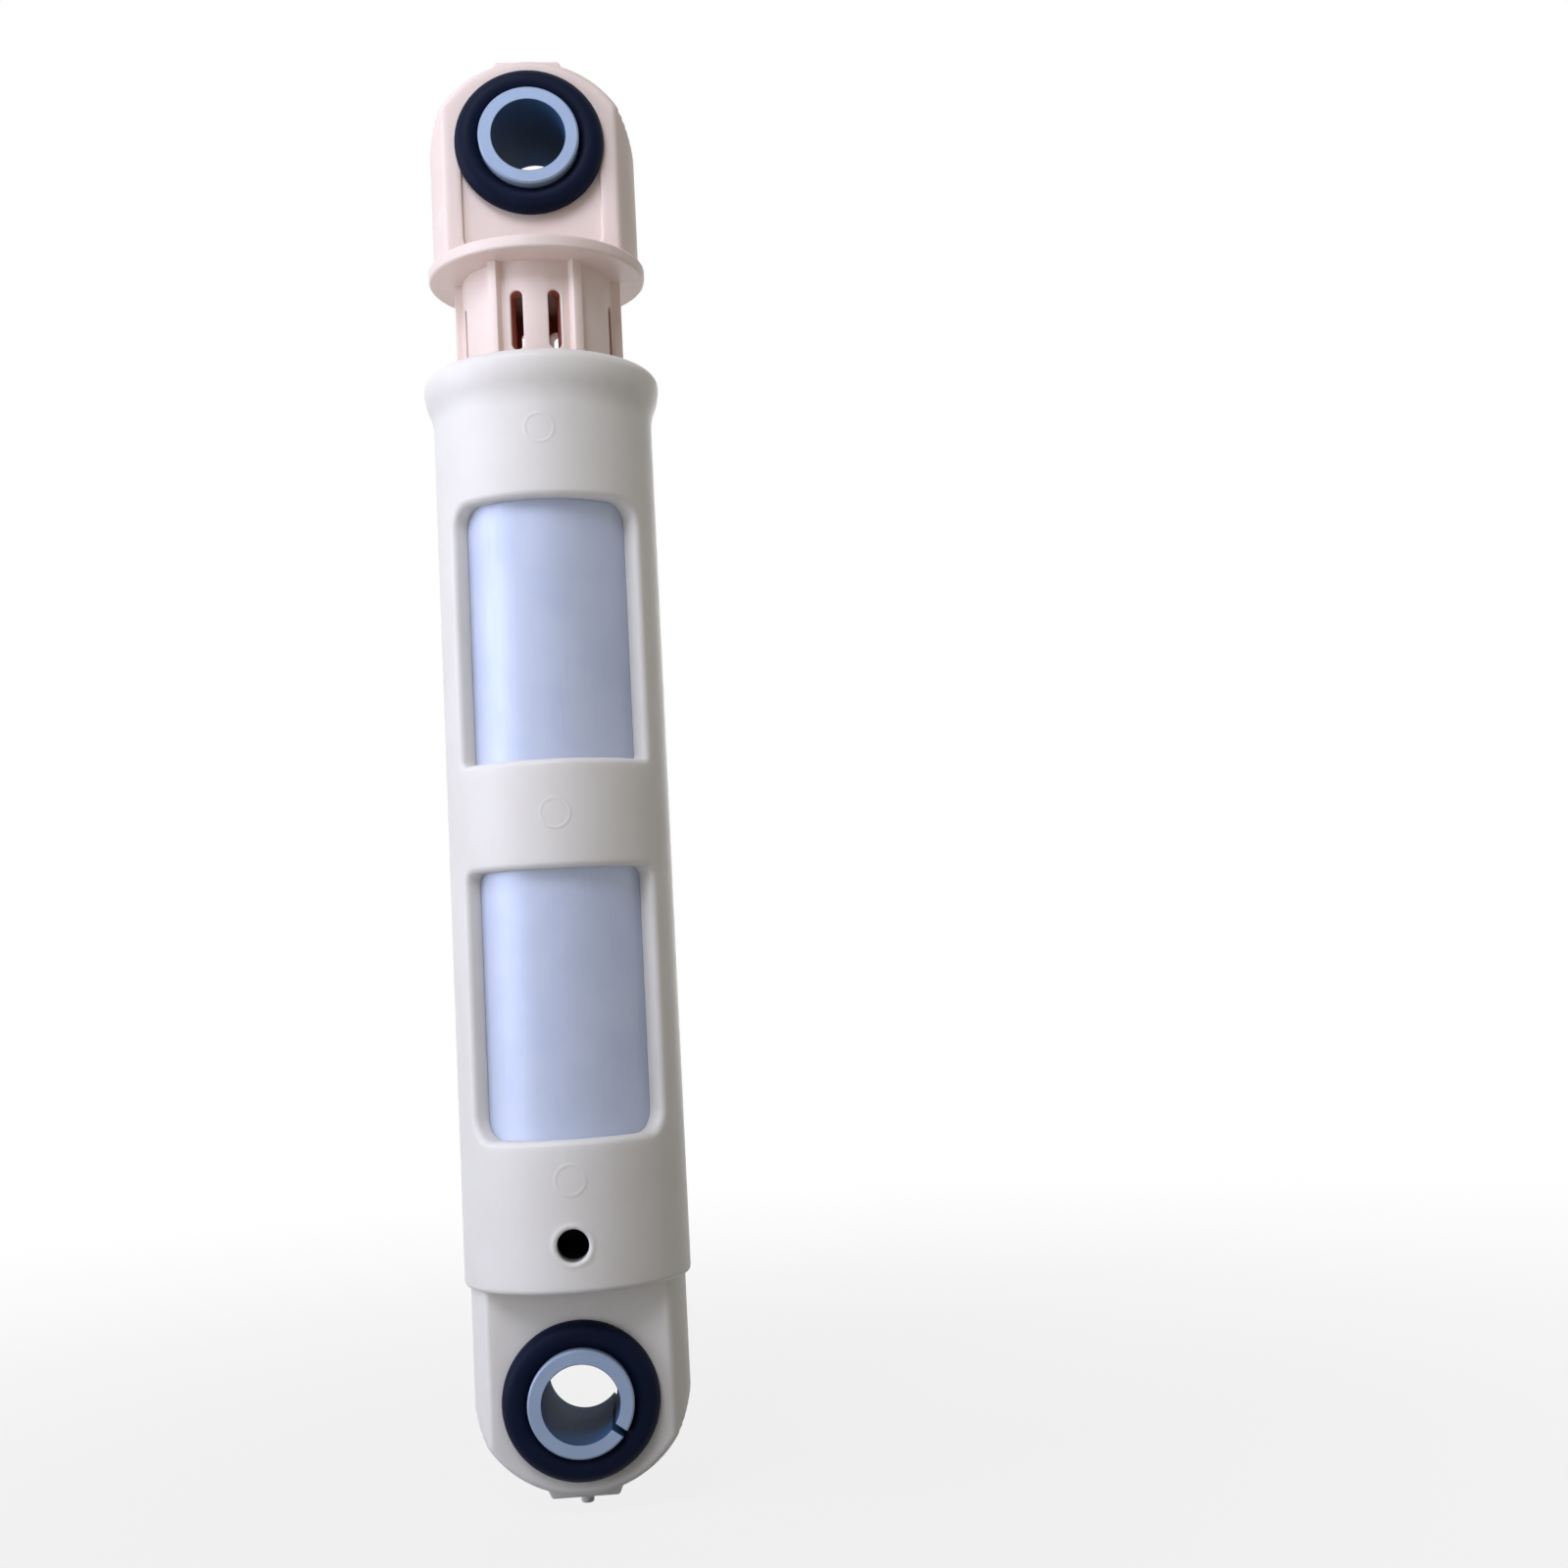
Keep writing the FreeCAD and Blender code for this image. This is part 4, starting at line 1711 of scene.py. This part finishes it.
@dataclass
class Studio:
    """The floor, the light and the camera.

    Attributes:
        floor_size: Side of the floor in metres.
        ambient: Strength of the light from all round.
        ambient_colour: Colour of that light.
        lamps: A large lamp at the left, a small one above the camera and a soft one behind the damper.
        aim: The point that the lamps look at, in metres.
        floor_glow: Share of plain white in the floor that the camera sees near the damper.
        floor_fade: Distances in millimetres over which the floor turns to plain white.
        floor_near_shade: Darker colour of the floor right under the damper, a painted contact shade round
            its foot.
        floor_far: Colour of the rest of the floor.
        floor_shade: Distances in millimetres over which the one turns to the other.
        camera_place: The camera's place in metres.
        camera_right: Direction to the right of the picture.
        camera_down: Direction down the picture.
        camera_forward: Direction that the camera looks in.
        focal_pixels: Focal length in pixels of the picture.
        frame_pixels: Side of the picture in pixels.
        sensor: Side of the camera's sensor in millimetres.
        nearest: Shortest distance that the camera sees, in metres.
    """

    floor_size: float = 6.0
    ambient: float = 0.185
    ambient_colour: Colour = (1.0, 0.955, 0.79)
    lamps: tuple[Lamp, ...] = (
        Lamp("key_lamp", (-0.72, -0.27, 0.22), 0.5, 3.85, (0.765, 0.805, 1.0)),
        Lamp("fill_lamp", (-0.15, -0.34, 0.45), 0.24, 1.45, (0.83, 0.85, 1.0)),
        Lamp("back_lamp", (0.12, 0.80, 0.12), 0.6, 2.8, (0.96, 0.95, 1.0)),
    )
    aim: Point = (0.0, 0.0, 0.09)
    floor_glow: float = 0.84
    floor_fade: Pair = (120.0, 420.0)
    # Painted contact shade under the damper.
    floor_near_shade: Colour = (0.28, 0.28, 0.28)
    floor_far: Colour = (0.85, 0.84, 0.82)
    floor_shade: Pair = (30.0, 260.0)
    camera_place: Point = (0.01095, -0.28792, 0.05959)
    camera_right: Point = (0.9958, -0.07492, -0.05268)
    camera_down: Point = (-0.04516, 0.0987, -0.99409)
    camera_forward: Point = (0.07967, 0.99229, 0.0949)
    focal_pixels: float = 1948.0
    frame_pixels: float = 1600.0
    sensor: float = 36.0
    nearest: float = 0.01

    def seen(self, bench: ShaderBench) -> Signal:
        """Gives 1 for rays from the camera or a mirror-like bounce, else 0."""
        path = bench.node("ShaderNodeLightPath")
        total = Signal(bench, path.outputs["Is Camera Ray"]) + Signal(bench, path.outputs["Is Glossy Ray"])
        total = total + Signal(bench, path.outputs["Is Transmission Ray"])
        return bench.maths("MINIMUM", total, 1.0)

    def world(self) -> None:
        """Lights the scene softly from all round, and shows white behind the damper."""
        world = bpy.data.worlds.new("studio")
        bpy.context.scene.world = world
        world.use_nodes = True
        bench = ShaderBench(world.node_tree)
        soft = bench.node("ShaderNodeBackground", None,
                          {"Color": (*self.ambient_colour, 1.0), "Strength": self.ambient})
        white = bench.node("ShaderNodeBackground", None, {"Color": WHITE, "Strength": 1.0})
        mix = bench.mix(self.seen(bench), soft, white)
        bench.node("ShaderNodeOutputWorld", None, {"Surface": mix.outputs[0]})

    def floor(self, height: float) -> None:
        """Lays a pale floor that keeps the damper's shadow.

        Args:
            height: The floor's height in metres.
        """
        half = self.floor_size / 2 / MM
        maker = MeshMaker()
        corners = [(-half, -half, 0.0), (half, -half, 0.0), (half, half, 0.0), (-half, half, 0.0)]
        maker.cap(maker.loop(corners))
        floor = maker.finish("studio_floor")
        floor.location.z = height
        bench, material = ShaderBench.for_material("pale_floor")
        x, y, _ = bench.axes()
        reach = (x * x + y * y) ** 0.5
        # Painted shade: the floor is painted darker near the damper, a contact shade that also dims the
        # light it sends back up.
        colour = bench.blend(reach.ramp(*self.floor_shade), self.floor_near_shade, self.floor_far)
        paint = bench.node("ShaderNodeBsdfDiffuse", None, {"Color": colour})
        glow = bench.node("ShaderNodeEmission", None, {"Color": WHITE, "Strength": 1.0})
        share = self.floor_glow + (1.0 - self.floor_glow) * reach.ramp(*self.floor_fade)
        bench.output(bench.mix(share * self.seen(bench), paint, glow))
        floor.data.materials.append(material)
        floor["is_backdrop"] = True

    def camera(self) -> None:
        """Stands the camera where the photograph was taken from."""
        lens = bpy.data.cameras.new("studio_camera")
        lens.sensor_width = self.sensor
        lens.lens = self.focal_pixels / self.frame_pixels * self.sensor
        lens.clip_start = self.nearest
        camera = bpy.data.objects.new("studio_camera", lens)
        columns = [Vector(self.camera_right), -Vector(self.camera_down), -Vector(self.camera_forward)]
        turn = Matrix(columns).transposed().to_4x4()
        camera.matrix_world = Matrix.Translation(Vector(self.camera_place)) @ turn
        bpy.context.scene.collection.objects.link(camera)
        bpy.context.scene.camera = camera

    def build(self, floor_height: float) -> None:
        """Sets up the whole studio.

        Args:
            floor_height: The floor's height in metres.
        """
        bpy.context.scene.view_settings.view_transform = "Standard"
        self.world()
        self.floor(floor_height)
        for lamp in self.lamps:
            lamp.hang(self.aim)
        self.camera()


# The housing's hollow colour is painted shade; the plunger's is painted shade with a reddish grease tone.
IVORY = MouldedPlastic("ivory_plastic", colour=(0.83, 0.805, 0.755), cloud=(0.80, 0.770, 0.715),
                       edge=(0.86, 0.855, 0.84), hollow_shade_and_grease=(0.30, 0.29, 0.27), hollow_radius=15.6,
                       hollow=(19.4, 27.9), parting_radius=15.2, marks=(31.5, 83.0, 139.0), roughness=0.46,
                       glow=0.5, glow_colour=(1.0, 0.95, 0.9), glow_depth=2.5)
BEIGE = MouldedPlastic("beige_plastic", colour=(0.87, 0.735, 0.67), cloud=(0.84, 0.695, 0.625),
                       edge=(0.88, 0.79, 0.74), hollow_shade_and_grease=(0.55, 0.20, 0.14), hollow_radius=10.9,
                       hollow=(30.0, 163.9), parting_radius=11.0, marks=(), roughness=0.42,
                       glow=0.3, glow_colour=(1.0, 0.85, 0.7), glow_depth=2.0)
DRAWN_ZINC = ZincSteel("drawn_zinc", colour=(0.515, 0.570, 0.710), bloom=(0.475, 0.530, 0.680),
                       stretch=(1.0, 1.0, 0.03), metallic=0.20, roughness=0.40, gloss=0.4)
RUBBER = MouldedRubber("black_rubber", colour=(0.0030, 0.0065, 0.0220), bloom=(0.007, 0.011, 0.032),
                       roughness=0.46)
FOAM = GreasedFoam("greased_foam", colour=(0.20, 0.18, 0.15), pore=(0.05, 0.045, 0.04))


def rolled_zinc(name: str, bore: float, height: float, seam: Seam) -> SleeveSteel:
    """Gives the finish of a sleeve.

    Args:
        name: The material's name.
        bore: Radius of its bore in millimetres.
        height: Height of its bore in millimetres.
        seam: Whether its rolled edges meet.

    Returns:
        The finish.
    """
    half = Sleeve.seam_gap / 2 if seam is Seam.OPEN else 0.0
    # The bore colour is a painted dark navy shade.
    return SleeveSteel(name, colour=(0.31, 0.39, 0.53), bloom=(0.28, 0.355, 0.49), stretch=(1.0, 0.04, 1.0),
                       metallic=0.30, roughness=0.46, gloss=0.08, bore_shade_colour=(0.028, 0.078, 0.170),
                       bore_radius=bore, bore_height=height, seam_turn=Sleeve.seam_turn, seam_half=half)


def main() -> None:
    """Builds every piece round the frame, logs each piece's face count and sets up the studio."""
    logging.basicConfig(level=logging.INFO)
    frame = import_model()
    cad_box = [list(corner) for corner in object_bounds()]
    mounts = {mount["name"]: mount for mount in frame["record"]["mounts"]}
    bore = mounts["lower_eye"]["dims"]["r_mm"]
    eye_height = mounts["upper_eye"]["pos_m"][2] / MM

    form = EyeForm()
    pieces = [
        Housing().build(form, IVORY),
        LinerTube().build(DRAWN_ZINC),
        Plunger().build(form, EyePanel(), eye_height, BEIGE),
        Bush().build("lower_bush", "housing", 0.0, RUBBER, form),
        Bush().build("upper_bush", "plunger", eye_height, RUBBER, form),
        Sleeve().build("lower_sleeve", "lower_sleeve", bore, 0.0, Seam.OPEN,
                       rolled_zinc("lower_rolled_zinc", bore, 0.0, Seam.OPEN)),
        Sleeve().build("upper_sleeve", "upper_sleeve", bore, eye_height, Seam.CLOSED,
                       rolled_zinc("upper_rolled_zinc", bore, eye_height, Seam.CLOSED)),
    ]
    lining = frame["nodes"]["friction_lining"]
    lining.data.materials.clear()
    lining.data.materials.append(FOAM.material())
    for piece in [*pieces, lining]:
        LOG.info("%s: %d faces", piece.name, len(piece.data.polygons))

    Studio().build(cad_box[0][2])


if __name__ == "__main__":
    main()
